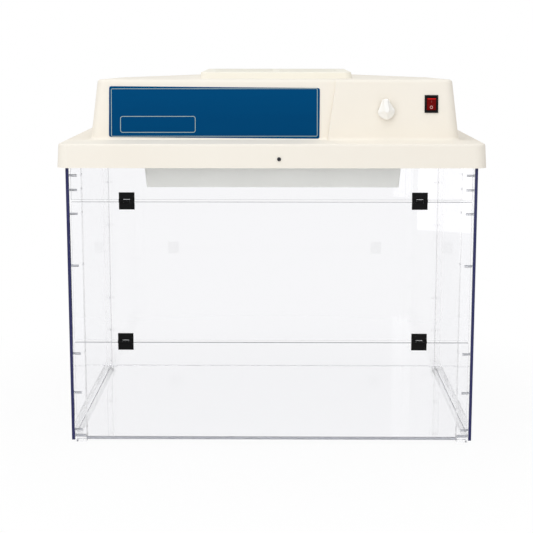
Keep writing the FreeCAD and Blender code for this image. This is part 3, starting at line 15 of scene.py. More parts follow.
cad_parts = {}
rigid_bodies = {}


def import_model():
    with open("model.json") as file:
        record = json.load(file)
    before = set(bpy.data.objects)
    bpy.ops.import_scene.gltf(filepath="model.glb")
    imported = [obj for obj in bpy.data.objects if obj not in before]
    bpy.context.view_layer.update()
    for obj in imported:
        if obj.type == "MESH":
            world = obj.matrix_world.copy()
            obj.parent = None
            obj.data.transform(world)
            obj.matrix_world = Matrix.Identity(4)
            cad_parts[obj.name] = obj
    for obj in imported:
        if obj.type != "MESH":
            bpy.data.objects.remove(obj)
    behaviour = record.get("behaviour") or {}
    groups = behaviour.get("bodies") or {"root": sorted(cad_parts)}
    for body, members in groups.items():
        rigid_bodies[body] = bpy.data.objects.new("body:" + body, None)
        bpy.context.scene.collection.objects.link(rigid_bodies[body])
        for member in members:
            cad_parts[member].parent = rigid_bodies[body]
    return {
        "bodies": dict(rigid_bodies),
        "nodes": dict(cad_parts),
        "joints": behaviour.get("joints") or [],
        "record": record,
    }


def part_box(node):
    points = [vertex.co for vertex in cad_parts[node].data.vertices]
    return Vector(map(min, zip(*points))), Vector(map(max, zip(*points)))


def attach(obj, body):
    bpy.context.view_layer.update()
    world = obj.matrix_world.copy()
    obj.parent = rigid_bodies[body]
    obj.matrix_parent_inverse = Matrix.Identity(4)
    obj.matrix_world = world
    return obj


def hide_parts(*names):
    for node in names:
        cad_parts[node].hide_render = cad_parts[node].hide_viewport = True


LOG = logging.getLogger("cabinet")
MM = 0.001
WHITE = (1.0, 1.0, 1.0, 1.0)
SAME_PLACE = 1e-6
FLAT_ANGLE = 0.5
SHARP_ANGLE = 40.0
ROUND = 2 * math.pi
QUARTER = math.pi / 2

Rgb = tuple[int, int, int]
Pair = tuple[float, float]
Triple = tuple[float, float, float]
Profile = Sequence[Pair]
NodeMap = dict[str, bpy.types.Object]


def light(colour: Rgb) -> tuple[float, float, float, float]:
    """Turns a screen colour into linear light by the sRGB curve.

    Args:
        colour: red, green and blue from 0 to 255.

    Returns:
        The same colour as linear red, green, blue and an alpha of 1.
    """
    shares = [c / 255 for c in colour]
    linear = [c / 12.92 if c <= 0.04045 else ((c + 0.055) / 1.055) ** 2.4 for c in shares]
    return linear[0], linear[1], linear[2], 1.0


class Way(Enum):
    """The direction in which a grain or a brush mark runs."""

    EVEN = (1.0, 1.0, 1.0)
    ALONG_X = (0.04, 1.0, 1.0)


class Nodes:
    """A node tree that is filled node by node."""

    def __init__(self, tree: bpy.types.NodeTree) -> None:
        """Empties the tree.

        Args:
            tree: the tree to fill.
        """
        self.tree = tree
        self.tree.nodes.clear()

    def add(self, kind: str, inputs: dict[str | int, Any] | None = None, **settings: Any) -> bpy.types.Node:
        """Adds a node.

        Args:
            kind: the node's type, without the words that every shader node starts with.
            inputs: for each input, a plain value or the socket that feeds it.
            settings: the node's own settings.

        Returns:
            The node.
        """
        node = self.tree.nodes.new("ShaderNode" + kind)
        for name, value in settings.items():
            setattr(node, name, value)
        for name, value in (inputs or {}).items():
            if isinstance(value, bpy.types.NodeSocket):
                self.tree.links.new(value, node.inputs[name])
            else:
                node.inputs[name].default_value = value
        return node

    def reckon(self, operation: str, *values: Any) -> bpy.types.NodeSocket:
        """Adds one sum and gives its result."""
        return self.add("Math", dict(enumerate(values)), operation=operation).outputs[0]

    def remap(self, value: bpy.types.NodeSocket, old: Pair, new: Pair,
              **settings: Any) -> bpy.types.NodeSocket:
        """Carries a value from one range to another.

        Args:
            value: the value.
            old: the two ends of its range.
            new: what the two ends turn into.
            settings: the node's own settings.

        Returns:
            The new value.
        """
        ends = {"From Min": old[0], "From Max": old[1], "To Min": new[0], "To Max": new[1]}
        return self.add("MapRange", {"Value": value, **ends}, **settings).outputs["Result"]

    def seen(self) -> bpy.types.NodeSocket:
        """Tells the rays that show the background from those that light the object.

        Returns:
            1 for camera rays and rays through or off a shiny surface, else 0.
        """
        path = self.add("LightPath").outputs
        first = self.reckon("MAXIMUM", path["Is Camera Ray"], path["Is Glossy Ray"])
        return self.reckon("MAXIMUM", first, path["Is Transmission Ray"])


class Paint(Nodes):
    """The nodes of one material."""

    NOISE_MIDDLE = (0.3, 0.7)

    def __init__(self, name: str) -> None:
        """Starts a material with its output node.

        Args:
            name: the material's name.
        """
        self.material = bpy.data.materials.new(name)
        self.material.use_nodes = True
        super().__init__(self.material.node_tree)
        self.output = self.add("OutputMaterial")
        self.place = self.add("TexCoord").outputs["Object"]

    def drawn(self, way: Way) -> bpy.types.NodeSocket:
        """Gives the object's own space, drawn out in one direction."""
        return self.add("Mapping", {"Vector": self.place, "Scale": way.value}).outputs["Vector"]

    def noise(self, per_metre: float, detail: float = 4.0, way: Way = Way.EVEN) -> bpy.types.NodeSocket:
        """Adds a noise laid over the object's own space.

        Args:
            per_metre: how many blotches fit in a metre.
            detail: how many finer layers it holds.
            way: the direction in which the blotches are drawn out.

        Returns:
            The noise as a factor around one half.
        """
        inputs = {"Vector": self.drawn(way), "Scale": per_metre, "Detail": detail}
        return self.add("TexNoise", inputs).outputs["Fac"]

    def span(self, factor: bpy.types.NodeSocket, low: float, high: float) -> bpy.types.NodeSocket:
        """Spreads the middle of a noise over a range of values."""
        return self.remap(factor, self.NOISE_MIDDLE, (low, high))

    def blend(self, factor: bpy.types.NodeSocket, first: Rgb, second: Rgb) -> bpy.types.NodeSocket:
        """Mixes two colours by a noise.

        Args:
            factor: the noise, whose bright end shows the second colour.
            first: the first colour.
            second: the second colour.

        Returns:
            The mixed colour.
        """
        mixed = self.add("Mix", {"Factor": self.span(factor, 0.0, 1.0)}, data_type="RGBA")
        for name, colour in (("A_Color", first), ("B_Color", second)):
            socket = next(s for s in mixed.inputs if s.identifier == name)
            socket.default_value = light(colour)
        return next(s for s in mixed.outputs if s.identifier == "Result_Color")

    def worn(self, factor: bpy.types.NodeSocket, roughness: float, wear: Pair) -> bpy.types.NodeSocket:
        """Lets the roughness wander about its value as a noise does."""
        return self.span(factor, roughness + wear[0], roughness + wear[1])

    def bump(self, height: bpy.types.NodeSocket, depth: float,
             under: bpy.types.NodeSocket | None = None) -> bpy.types.NodeSocket:
        """Roughens the surface by a height.

        Args:
            height: the height as a factor.
            depth: the depth in metres that a factor of one stands for.
            under: the bump that this one lies on.

        Returns:
            The bent normal.
        """
        inputs: dict[str | int, Any] = {"Height": height, "Distance": depth, "Strength": 1.0}
        if under is not None:
            inputs["Normal"] = under
        return self.add("Bump", inputs).outputs["Normal"]

    def close(self, shader: bpy.types.Node) -> bpy.types.Material:
        """Wires the last shader to the output and gives the material."""
        self.tree.links.new(shader.outputs[0], self.output.inputs["Surface"])
        return self.material


@dataclass(frozen=True)
class Moulded:
    """Moulded plastic with a fine skin, a slow drift of tone and a soft shine."""

    name: str
    colour: Rgb
    shade: Rgb
    roughness: float = 0.35
    skin_depth: float = 0.00004
    coat: float = 0.0
    gloss: float = 0.5

    TONE_PER_METRE = 5.0
    SKIN_PER_METRE = 900.0
    WAVES_PER_METRE = 28.0
    WAVE_SHARE = 6
    WEAR_PER_METRE = 160.0
    WEAR = (-0.05, 0.07)
    COAT_ROUGHNESS = 0.12

    def build(self) -> bpy.types.Material:
        """Makes the material.

        Returns:
            The material.
        """
        paint = Paint(self.name)
        skin = paint.bump(paint.noise(self.SKIN_PER_METRE, 2.0), self.skin_depth)
        waves = paint.bump(paint.noise(self.WAVES_PER_METRE, 2.0), self.skin_depth * self.WAVE_SHARE, skin)
        shader = paint.add("BsdfPrincipled", {
            "Base Color": paint.blend(paint.noise(self.TONE_PER_METRE, 3.0), self.colour, self.shade),
            "Roughness": paint.worn(paint.noise(self.WEAR_PER_METRE), self.roughness, self.WEAR),
            "Normal": waves,
            "Specular IOR Level": self.gloss,
            "Coat Weight": self.coat,
            "Coat Roughness": self.COAT_ROUGHNESS,
        })
        return paint.close(shader)


@dataclass(frozen=True)
class Metal:
    """Bare or plated metal with drawn or cast marks."""

    name: str
    colour: Rgb
    shade: Rgb
    roughness: float
    way: Way = Way.EVEN
    mark_per_metre: float = 1600.0
    mark_depth: float = 0.00002
    gathered: float = 0.0

    TONE_PER_METRE = 45.0
    WEAR = (-0.06, 0.1)

    def build(self) -> bpy.types.Material:
        """Makes the material.

        Returns:
            The material.
        """
        paint = Paint(self.name)
        marks = paint.noise(self.mark_per_metre, 3.0, self.way)
        shader = paint.add("BsdfPrincipled", {
            "Base Color": paint.blend(paint.noise(self.TONE_PER_METRE), self.colour, self.shade),
            "Metallic": 1.0,
            "Roughness": paint.worn(marks, self.roughness, self.WEAR),
            "Normal": paint.bump(marks, self.mark_depth),
            # Painted glow: an emission that lightens the metal where lamp light can't reach it.
            "Emission Color": WHITE,
            "Emission Strength": self.gathered,
        })
        return paint.close(shader)


@dataclass(frozen=True)
class Coated:
    """Sheet metal under satin paint with a light orange-peel skin."""

    name: str
    colour: Rgb
    shade: Rgb
    roughness: float = 0.42
    peel_depth: float = 0.00003

    TONE_PER_METRE = 9.0
    PEEL_PER_METRE = 420.0
    WEAR_PER_METRE = 70.0
    WEAR = (-0.06, 0.08)

    def build(self) -> bpy.types.Material:
        """Makes the material.

        Returns:
            The material.
        """
        paint = Paint(self.name)
        shader = paint.add("BsdfPrincipled", {
            "Base Color": paint.blend(paint.noise(self.TONE_PER_METRE, 3.0), self.colour, self.shade),
            "Roughness": paint.worn(paint.noise(self.WEAR_PER_METRE), self.roughness, self.WEAR),
            "Normal": paint.bump(paint.noise(self.PEEL_PER_METRE, 2.0), self.peel_depth),
        })
        return paint.close(shader)


@dataclass(frozen=True)
class Clear:
    """Clear sheet or bar that darkens along its length and lets lamps through.

    A sheet's narrow sides gather the light that runs inside it; they and a bar's rounded edges are painted
    an opaque colour, painted light and shade that stands in for that light and for the dark lines that the
    edges refract.
    """

    name: str
    tint: Rgb
    density: float
    polish: float
    bend: float = 1.49
    face: Triple | None = None
    edge: Rgb = (200, 203, 210)
    edge_share: float = 0.9
    lined: bool = False
    gathered: float = 0.0

    SMEARS_PER_METRE = 35.0
    EDGE_PER_METRE = 60.0
    EDGE_SHADE = (8, 8, 5)
    EDGE_ROUGHNESS = 0.3
    EDGE_GLOSS = 0.1
    TURNED_AWAY = (0.93, 0.985)
    OFF_THE_FACE = (0.35, 0.65)
    LET_THROUGH = (0.97, 0.975, 0.98, 1.0)

    def rounded(self, paint: Paint) -> bpy.types.NodeSocket:
        """Finds the rounded edges of a bar.

        Args:
            paint: the material's nodes.

        Returns:
            The edge share on a rounded edge and 0 on the flat sides.
        """
        normal = paint.add("TexCoord").outputs["Normal"]
        size = paint.add("VectorMath", {0: normal}, operation="ABSOLUTE").outputs["Vector"]
        parts = paint.add("SeparateXYZ", {0: size}).outputs
        most = paint.reckon("MAXIMUM", paint.reckon("MAXIMUM", parts[0], parts[1]), parts[2])
        return paint.remap(most, self.TURNED_AWAY, (self.edge_share, 0.0))

    def narrow(self, paint: Paint) -> bpy.types.NodeSocket:
        """Finds the sheet's narrow sides.

        Args:
            paint: the material's nodes.

        Returns:
            The edge share on a narrow side and 0 on the two wide faces.
        """
        normal = paint.add("TexCoord").outputs["Normal"]
        along = paint.add("VectorMath", {0: normal, 1: self.face}, operation="DOT_PRODUCT").outputs["Value"]
        square = paint.reckon("MULTIPLY", along, along)
        return paint.remap(square, self.OFF_THE_FACE, (self.edge_share, 0.0))

    def build(self) -> bpy.types.Material:
        """Makes the material.

        Returns:
            The material.
        """
        paint = Paint(self.name)
        body = paint.add("BsdfPrincipled", {
            "Base Color": WHITE,
            "Roughness": paint.span(paint.noise(self.SMEARS_PER_METRE, 3.0), 0.0, self.polish),
            "IOR": self.bend,
            "Transmission Weight": 1.0,
            # Painted glow: a faint emission that lightens the clear piece.
            "Emission Color": WHITE,
            "Emission Strength": self.gathered,
        }).outputs[0]
        if self.face is not None or self.lined:
            # Painted light and shade: an opaque colour on the narrow sides and rounded edges, in place of
            # the glow and dark refraction lines seen there.
            red, green, blue = (part - less for part, less in zip(self.edge, self.EDGE_SHADE))
            rim = paint.add("BsdfPrincipled", {
                "Base Color": paint.blend(paint.noise(self.EDGE_PER_METRE), self.edge, (red, green, blue)),
                "Roughness": self.EDGE_ROUGHNESS,
                "Specular IOR Level": self.EDGE_GLOSS,
            })
            share = self.rounded(paint) if self.lined else self.narrow(paint)
            body = paint.add("MixShader", {0: share, 1: body, 2: rim.outputs[0]}).outputs[0]
        hollow = paint.add("BsdfTransparent", {"Color": self.LET_THROUGH})
        shadow = paint.add("LightPath").outputs["Is Shadow Ray"]
        mixed = paint.add("MixShader", {0: shadow, 1: body, 2: hollow.outputs[0]})
        depth = paint.add("VolumeAbsorption", {"Color": light(self.tint), "Density": self.density})
        paint.tree.links.new(depth.outputs[0], paint.output.inputs["Volume"])
        return paint.close(mixed)


@dataclass(frozen=True)
class Printed:
    """Printed sheet under a satin lacquer, a little lighter towards one side."""

    name: str
    colour: Rgb
    shade: Rgb
    roughness: float = 0.34
    gloss: float = 0.02

    INK_PER_METRE = 14.0
    DOTS_PER_METRE = 1900.0
    DOT_DEPTH = 0.000004
    WEAR_PER_METRE = 220.0
    WEAR = (-0.05, 0.08)

    def build(self) -> bpy.types.Material:
        """Makes the material.

        Returns:
            The material.
        """
        paint = Paint(self.name)
        ink = paint.noise(self.INK_PER_METRE, 5.0, Way.ALONG_X)
        dots = paint.add("TexVoronoi", {"Vector": paint.place, "Scale": self.DOTS_PER_METRE})
        shader = paint.add("BsdfPrincipled", {
            "Base Color": paint.blend(ink, self.colour, self.shade),
            "Roughness": paint.worn(paint.noise(self.WEAR_PER_METRE), self.roughness, self.WEAR),
            "Specular IOR Level": self.gloss,
            "Normal": paint.bump(dots.outputs["Distance"], self.DOT_DEPTH),
        })
        return paint.close(shader)


@dataclass(frozen=True)
class Fibrous:
    """Paper, fibre pad or foam: a matt surface of strands or pores."""

    name: str
    colour: Rgb
    shade: Rgb
    strand_per_metre: float
    depth: float

    PORE_SHARE = 0.8
    ROUGHNESS = (0.8, 0.95)
    SHEEN = 0.2

    def build(self) -> bpy.types.Material:
        """Makes the material.

        Returns:
            The material.
        """
        paint = Paint(self.name)
        strands = paint.noise(self.strand_per_metre, 6.0)
        pores = paint.add("TexVoronoi", {"Vector": paint.place,
                                         "Scale": self.strand_per_metre * self.PORE_SHARE})
        shader = paint.add("BsdfPrincipled", {
            "Base Color": paint.blend(strands, self.colour, self.shade),
            "Roughness": paint.span(strands, *self.ROUGHNESS),
            "Sheen Weight": self.SHEEN,
            "Normal": paint.bump(pores.outputs["Distance"], self.depth, paint.bump(strands, self.depth)),
        })
        return paint.close(shader)


@dataclass(frozen=True)
class Finishes:
    """Every finish of the cabinet, built once."""

    hood: bpy.types.Material
    cover: bpy.types.Material
    knob: bpy.types.Material
    white_plate: bpy.types.Material
    steel: bpy.types.Material
    chrome: bpy.types.Material
    post_screw: bpy.types.Material
    dark_screw: bpy.types.Material
    cast: bpy.types.Material
    frame: bpy.types.Material
    dark_paint: bpy.types.Material
    black: bpy.types.Material
    grey: bpy.types.Material
    red: bpy.types.Material
    # painted highlight for the lit upper end of the rocker
    crest: bpy.types.Material
    mark: bpy.types.Material
    faint_mark: bpy.types.Material
    plate: bpy.types.Material
    line: bpy.types.Material
    paper: bpy.types.Material
    pad: bpy.types.Material
    foam: bpy.types.Material
    phosphor: bpy.types.Material
    quartz: bpy.types.Material
    wall: bpy.types.Material
    front: bpy.types.Material
    floor: bpy.types.Material
    post: bpy.types.Material
    bonded: bpy.types.Material

    @classmethod
    def build(cls) -> "Finishes":
        """Makes each material from its colours.

        Returns:
            The finishes.
        """
        return cls(
            hood=Moulded("hood_plastic", (242, 236, 225), (240, 233, 221), 0.6, gloss=0.02).build(),
            cover=Moulded("cover_plastic", (243, 239, 227), (241, 236, 223), 0.6, gloss=0.02).build(),
            knob=Moulded("knob_plastic", (250, 249, 246), (247, 245, 240), 0.35, 0.00002,
                         gloss=0.3).build(),
            white_plate=Coated("white_paint", (250, 250, 244), (247, 247, 241)).build(),
            steel=Metal("zinc_plate", (196, 198, 201), (176, 179, 184), 0.34, Way.ALONG_X).build(),
            chrome=Metal("bright_plate", (224, 226, 229), (208, 211, 215), 0.2).build(),
            # Painted glow lightens the screws seen inside the clear posts.
            post_screw=Metal("post_screw_plate", (224, 226, 229), (208, 211, 215), 0.3,
                             gathered=0.4).build(),
            dark_screw=Metal("dark_plate", (74, 74, 78), (54, 54, 58), 0.42).build(),
            cast=Metal("cast_metal", (176, 178, 180), (158, 160, 163), 0.45, Way.EVEN, 500.0,
                       0.00006).build(),
            frame=Metal("extruded_metal", (208, 210, 212), (194, 197, 200), 0.36, Way.ALONG_X).build(),
            dark_paint=Coated("dark_paint", (38, 39, 41), (30, 31, 33), 0.4).build(),
            black=Moulded("black_plastic", (13, 13, 14), (9, 9, 10), 0.45, 0.00003, gloss=0.1).build(),
            grey=Moulded("grey_plastic", (214, 213, 209), (205, 204, 200), 0.42).build(),
            red=Moulded("red_plastic", (112, 2, 2), (94, 1, 1), 0.3, 0.00002, gloss=0.06).build(),
            # Painted highlight: a brighter red for the lit upper end of the rocker.
            crest=Moulded("red_painted_highlight", (214, 28, 26), (200, 20, 19), 0.3, 0.00002, gloss=0.1).build(),
            mark=Coated("mark_print", (214, 170, 164), (204, 160, 154), 0.5, 0.00001).build(),
            faint_mark=Coated("faint_print", (140, 52, 50), (130, 46, 44), 0.5, 0.00001).build(),
            plate=Printed("plate_print", (0, 71, 118), (0, 65, 110)).build(),
            line=Printed("line_print", (150, 170, 165), (162, 180, 174)).build(),
            paper=Fibrous("pleat_paper", (244, 243, 238), (232, 231, 226), 900.0, 0.00008).build(),
            pad=Fibrous("fibre_pad", (222, 226, 226), (196, 202, 204), 420.0, 0.0006).build(),
            foam=Fibrous("foam_rubber", (60, 60, 62), (46, 46, 48), 700.0, 0.0003).build(),
            phosphor=Moulded("phosphor_tube", (246, 248, 248), (240, 243, 244), 0.16, 0.00001,
                             coat=0.4).build(),
            quartz=Clear("quartz_tube", (200, 210, 235), 12.0, 0.02, 1.46).build(),
            # The edge colours of the clear pieces below are painted light and shade on their narrow sides
            # and rounded edges.
            wall=Clear("clear_wall", (150, 152, 205), 3.0, 0.01, face=(1.0, 0.0, 0.0),
                       edge=(54, 56, 98)).build(),
            front=Clear("clear_front", (190, 191, 208), 13.0, 0.01, face=(0.0, 1.0, 0.0),
                        edge=(142, 144, 150)).build(),
            floor=Clear("clear_floor", (190, 191, 208), 8.0, 0.01, face=(0.0, 0.0, 1.0),
                        edge=(218, 219, 224), edge_share=0.7).build(),
            # Painted glow lightens the inside of the clear posts.
            post=Clear("clear_post", (215, 217, 230), 0.8, 0.01, edge=(150, 152, 160), lined=True,
                       gathered=0.015).build(),
            bonded=Clear("bonded_bar", (215, 217, 230), 0.8, 0.01, 1.012).build(),
        )


def turns(count: int, part: float = ROUND) -> list[float]:
    """Angles that cut a whole turn, or a part of one, into equal steps."""
    return [part * k / count for k in range(count)]


def polar(radius: float, angle: float, height: float) -> Vector:
    """The point at a radius and an angle about Z, and at a height."""
    return Vector((radius * math.cos(angle), radius * math.sin(angle), height))


class Shape:
    """A mesh put together from rings of points."""

    def __init__(self) -> None:
        """Starts with no points."""
        self.mesh = bmesh.new()

    def ring(self, points: Iterable[Vector]) -> list[bmesh.types.BMVert]:
        """Adds the points of one closed ring."""
        return [self.mesh.verts.new(point) for point in points]

    def bridge(self, low: list[bmesh.types.BMVert], high: list[bmesh.types.BMVert]) -> None:
        """Joins two rings of as many points with a band of faces.

        Args:
            low: the first ring.
            high: the second ring.
        """
        for k, (here, there) in enumerate(zip(low, high)):
            after = (k + 1) % len(low)
            self.mesh.faces.new((here, low[after], high[after], there))

    def loft(self, rings: Sequence[Iterable[Vector]], closed: bool = False) -> None:
        """Joins a row of rings into one skin.

        Args:
            rings: the rings' points, in order.
            closed: whether the last ring joins the first, with no end faces.
        """
        made = [self.ring(points) for points in rings]
        for low, high in zip(made, made[1:]):
            self.bridge(low, high)
        if closed:
            self.bridge(made[-1], made[0])
        else:
            self.mesh.faces.new(made[0])
            self.mesh.faces.new(made[-1])

    def lathe(self, profile: Profile, seat: Matrix, sides: int) -> None:
        """Turns a profile about the seat's own Z axis.

        Args:
            profile: radius and height of each point, from one end to the other.
            seat: where the axis stands.
            sides: how many faces go round.
        """
        self.loft([[seat @ polar(radius, a, height) for a in turns(sides)] for radius, height in profile])

    def mesh_data(self, name: str, material: bpy.types.Material) -> bpy.types.Mesh:
        """Turns the points into mesh data of one finish.

        Args:
            name: the data's name.
            material: its finish.

        Returns:
            The mesh data.
        """
        data = bpy.data.meshes.new(name)
        self.mesh.to_mesh(data)
        self.mesh.free()
        data.materials.append(material)
        return data

    def finish(self, name: str, body: str, slot: str, material: bpy.types.Material,
               crease: float = 35.0) -> bpy.types.Object:
        """Turns the points into a piece of the cabinet.

        Args:
            name: the piece's name.
            body: the body that it moves with.
            slot: the material slot in the record; not used.
            material: its finish.
            crease: the angle in degrees above which an edge stays sharp.

        Returns:
            The piece.
        """
        bmesh.ops.recalc_face_normals(self.mesh, faces=self.mesh.faces[:])
        data = self.mesh_data(name, material)
        data.shade_smooth()
        data.set_sharp_from_angle(angle=math.radians(crease))
        piece = bpy.data.objects.new(name, data)
        bpy.context.scene.collection.objects.link(piece)
        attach(piece, body)
        LOG.info("made %s on %s", name, body)
        return piece


@dataclass(frozen=True)
class Span:
    """A box in the cabinet's own frame."""

    low: Vector
    high: Vector

    @property
    def centre(self) -> Vector:
        """The box's middle."""
        return (self.low + self.high) / 2

    @property
    def size(self) -> Vector:
        """The box's three lengths."""
        return self.high - self.low

    @classmethod
    def of(cls, node: str) -> "Span":
        """The box of a node of the frame."""
        low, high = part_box(node)
        return cls(low, high)

    @classmethod
    def islands(cls, node: bpy.types.Object) -> list["Span"]:
        """Finds the boxes of a node's separate solids.

        Args:
            node: the node.

        Returns:
            One box for each solid.
        """
        mesh = bmesh.new()
        mesh.from_mesh(node.data)
        bmesh.ops.remove_doubles(mesh, verts=mesh.verts[:], dist=SAME_PLACE)
        left = set(mesh.verts)
        spans = []
        while left:
            front = [left.pop()]
            solid = []
            while front:
                vert = front.pop()
                solid.append(vert.co.copy())
                for edge in vert.link_edges:
                    other = edge.other_vert(vert)
                    if other in left:
                        left.remove(other)
                        front.append(other)
            spans.append(cls(Vector(min(p[k] for p in solid) for k in range(3)),
                             Vector(max(p[k] for p in solid) for k in range(3))))
        mesh.free()
        return sorted(spans, key=lambda span: tuple(span.centre))


def seat_on(point: Vector, out: Vector, up: Vector = Vector((0, 0, 1))) -> Matrix:
    """Stands a seat on a surface.

    Args:
        point: where the surface is met.
        out: the direction away from the surface, the seat's Z axis.
        up: the direction that the seat's Y axis follows as near as it can.

    Returns:
        The seat's matrix.
    """
    z = out.normalized()
    x = up.cross(z).normalized()
    y = z.cross(x)
    return Matrix.Translation(point) @ Matrix((x, y, z)).transposed().to_4x4()


def joint(frame: dict[str, Any], name: str) -> tuple[Vector, Vector]:
    """Finds a joint's place and axis.

    Args:
        frame: the loaded frame.
        name: the joint's name.

    Returns:
        A point on the axis, and its direction.
    """
    found = next(j for j in frame["joints"] if j["name"] == name)
    return Vector(found["pos_m"]), Vector(found["axis"])


def dress(node: bpy.types.Object, material: bpy.types.Material) -> None:
    """Gives a node of the frame its finish."""
    node.data.materials.clear()
    node.data.materials.append(material)


def soften(node: bpy.types.Object, radius: float, steps: int = 2, inset: float = 0.0) -> None:
    """Rounds a node's sharp edges, and can draw its faces in by a hair.

    Args:
        node: the node, whose own mesh stays as it is.
        radius: the edges' radius in metres.
        steps: how many faces make the round.
        inset: how far the corners are drawn in, in metres.
    """
    weld = node.modifiers.new("weld", "WELD")
    weld.merge_threshold = SAME_PLACE
    flat = node.modifiers.new("join_flat", "DECIMATE")
    flat.decimate_type = "DISSOLVE"
    flat.angle_limit = math.radians(FLAT_ANGLE)
    if inset:
        draw = node.modifiers.new("draw_in", "DISPLACE")
        draw.mid_level = 0.0
        draw.strength = -inset
    bevel = node.modifiers.new("round", "BEVEL")
    bevel.width = radius
    bevel.segments = steps
    bevel.limit_method = "ANGLE"
    bevel.angle_limit = math.radians(SHARP_ANGLE)
    bevel.harden_normals = True


@dataclass
class PanScrew:
    """A pan-head screw with a cross recess and a threaded shank, in metres."""

    head_radius: float
    head_height: float
    shank_radius: float
    shank_length: float
    recess_half: float = 0.45
    recess_depth: float = 0.45
    pitch: float = 1.0 * MM
    thread: float = 0.14
    sides: int = 24

    HEAD = ((0.72, 1.0), (0.9, 0.82), (1.0, 0.42), (1.0, 0.0))
    STAR_REACH = 1.35
    STAR_FLOOR = 0.55
    STAR_TOP = 0.98
    STAR_WAIST = 0.32
    ARM_POWER = 6
    TURN_STEPS = 3
    LEAST_STEPS = 6
    TIP_STEPS = 4
    TIP_SHARE = 0.35

    def star(self, half: float, height: float) -> list[Vector]:
        """Draws a ring that is drawn in to a four-armed star.

        Args:
            half: how far an arm reaches.
            height: the ring's height.

        Returns:
            The ring's points.
        """
        points = []
        for a in turns(self.sides):
            arm = abs(math.cos(2 * a)) ** self.ARM_POWER
            points.append(polar(half * (self.STAR_WAIST + (1 - self.STAR_WAIST) * arm), a, height))
        return points

    def shank(self) -> list[list[Vector]]:
        """Draws the threaded shank down to its tip.

        Returns:
            The shank's rings.
        """
        steps = max(self.LEAST_STEPS, int(self.shank_length / (self.pitch / self.TURN_STEPS)))
        rings = []
        for k in range(1, steps):
            height = -self.shank_length * k / steps
            taper = min(1.0, (steps - k) / self.TIP_STEPS + self.TIP_SHARE)
            ring = []
            for a in turns(self.sides):
                groove = self.thread * (0.5 - 0.5 * math.cos(ROUND * height / self.pitch + a))
                ring.append(polar(self.shank_radius * taper * (1 - groove), a, height))
            rings.append(ring)
        return rings

    def add_to(self, shape: Shape, seat: Matrix, turn: float) -> None:
        """Adds the screw's skin to a shape.

        Args:
            shape: the shape that takes it.
            seat: its place, with Z out of the head.
            turn: the angle in radians at which the recess stands.
        """
        seat = seat @ Matrix.Rotation(turn, 4, "Z")
        reach = self.head_radius * self.recess_half * self.STAR_REACH
        rings = [self.star(reach * self.STAR_FLOOR, self.head_height * (1 - self.recess_depth)),
                 self.star(reach, self.head_height * self.STAR_TOP)]
        circles = [(self.head_radius * wide, self.head_height * high) for wide, high in self.HEAD]
        rings += [[polar(radius, a, height) for a in turns(self.sides)]
                  for radius, height in circles + [(self.shank_radius, 0.0)]]
        shape.loft([[seat @ point for point in ring] for ring in rings + self.shank()])


@dataclass
class ClearCase:
    """The clear cabinet: walls, floor, posts, panels and the screws that hold them."""

    hair: float = 0.09 * MM
    screw_head_height: float = 2.2 * MM
    screw_head_radius: float = 3.8 * MM
    screw_radius: float = 2.0 * MM
    screw_turn: float = 0.6

    ROUNDS = {"wall": 0.8 * MM, "front": 1.5 * MM, "floor": 1.0 * MM, "post": 2.0 * MM, "bonded": 0.4 * MM}
    PIECES = {
        "wall": ("left_wall", "right_wall"),
        "front": ("back_wall", "header_panel", "sash_panel", "flap_panel"),
        "floor": ("floor_panel",),
        "post": ("front_left_post", "front_right_post"),
        "bonded": ("back_left_bar", "back_right_bar", "left_floor_bar", "right_floor_bar"),
    }

    def build(self, nodes: NodeMap, finishes: Finishes) -> None:
        """Dresses the clear pieces and puts real screws in the walls.

        Args:
            nodes: the frame's nodes.
            finishes: the materials.
        """
        for finish, names in self.PIECES.items():
            for name in names:
                dress(nodes[name], getattr(finishes, finish))
                soften(nodes[name], self.ROUNDS[finish], 2, self.hair)
        for side, hand in (("left", -1), ("right", 1)):
            self.wall_screws(nodes, side, hand, finishes)

    def wall_screws(self, nodes: NodeMap, side: str, hand: int, finishes: Finishes) -> None:
        """Makes the screws of one side wall, those in the post apart from those in the bars.

        Args:
            nodes: the frame's nodes.
            side: the side's name.
            hand: 1 on the right and -1 on the left.
            finishes: the materials.
        """
        name = f"{side}_wall_screws"
        head = self.screw_head_height
        shape, bonded = Shape(), Shape()
        for k, span in enumerate(Span.islands(nodes[name])):
            outer = span.high.x if hand > 0 else span.low.x
            point = Vector((outer - hand * head, span.centre.y, span.centre.z))
            screw = PanScrew(self.screw_head_radius, head, self.screw_radius, span.size.x - head)
            screw.add_to(shape if span.centre.y < 0 else bonded, seat_on(point, Vector((hand, 0, 0))),
                         self.screw_turn * k)
        piece = shape.finish(f"{side}_wall_threaded_screws", "cabinet", "chrome", finishes.post_screw)
        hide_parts(name)
        piece = bonded.finish(f"{side}_wall_bonded_screws", "cabinet", "clear_bar", finishes.bonded)
        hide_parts(name)


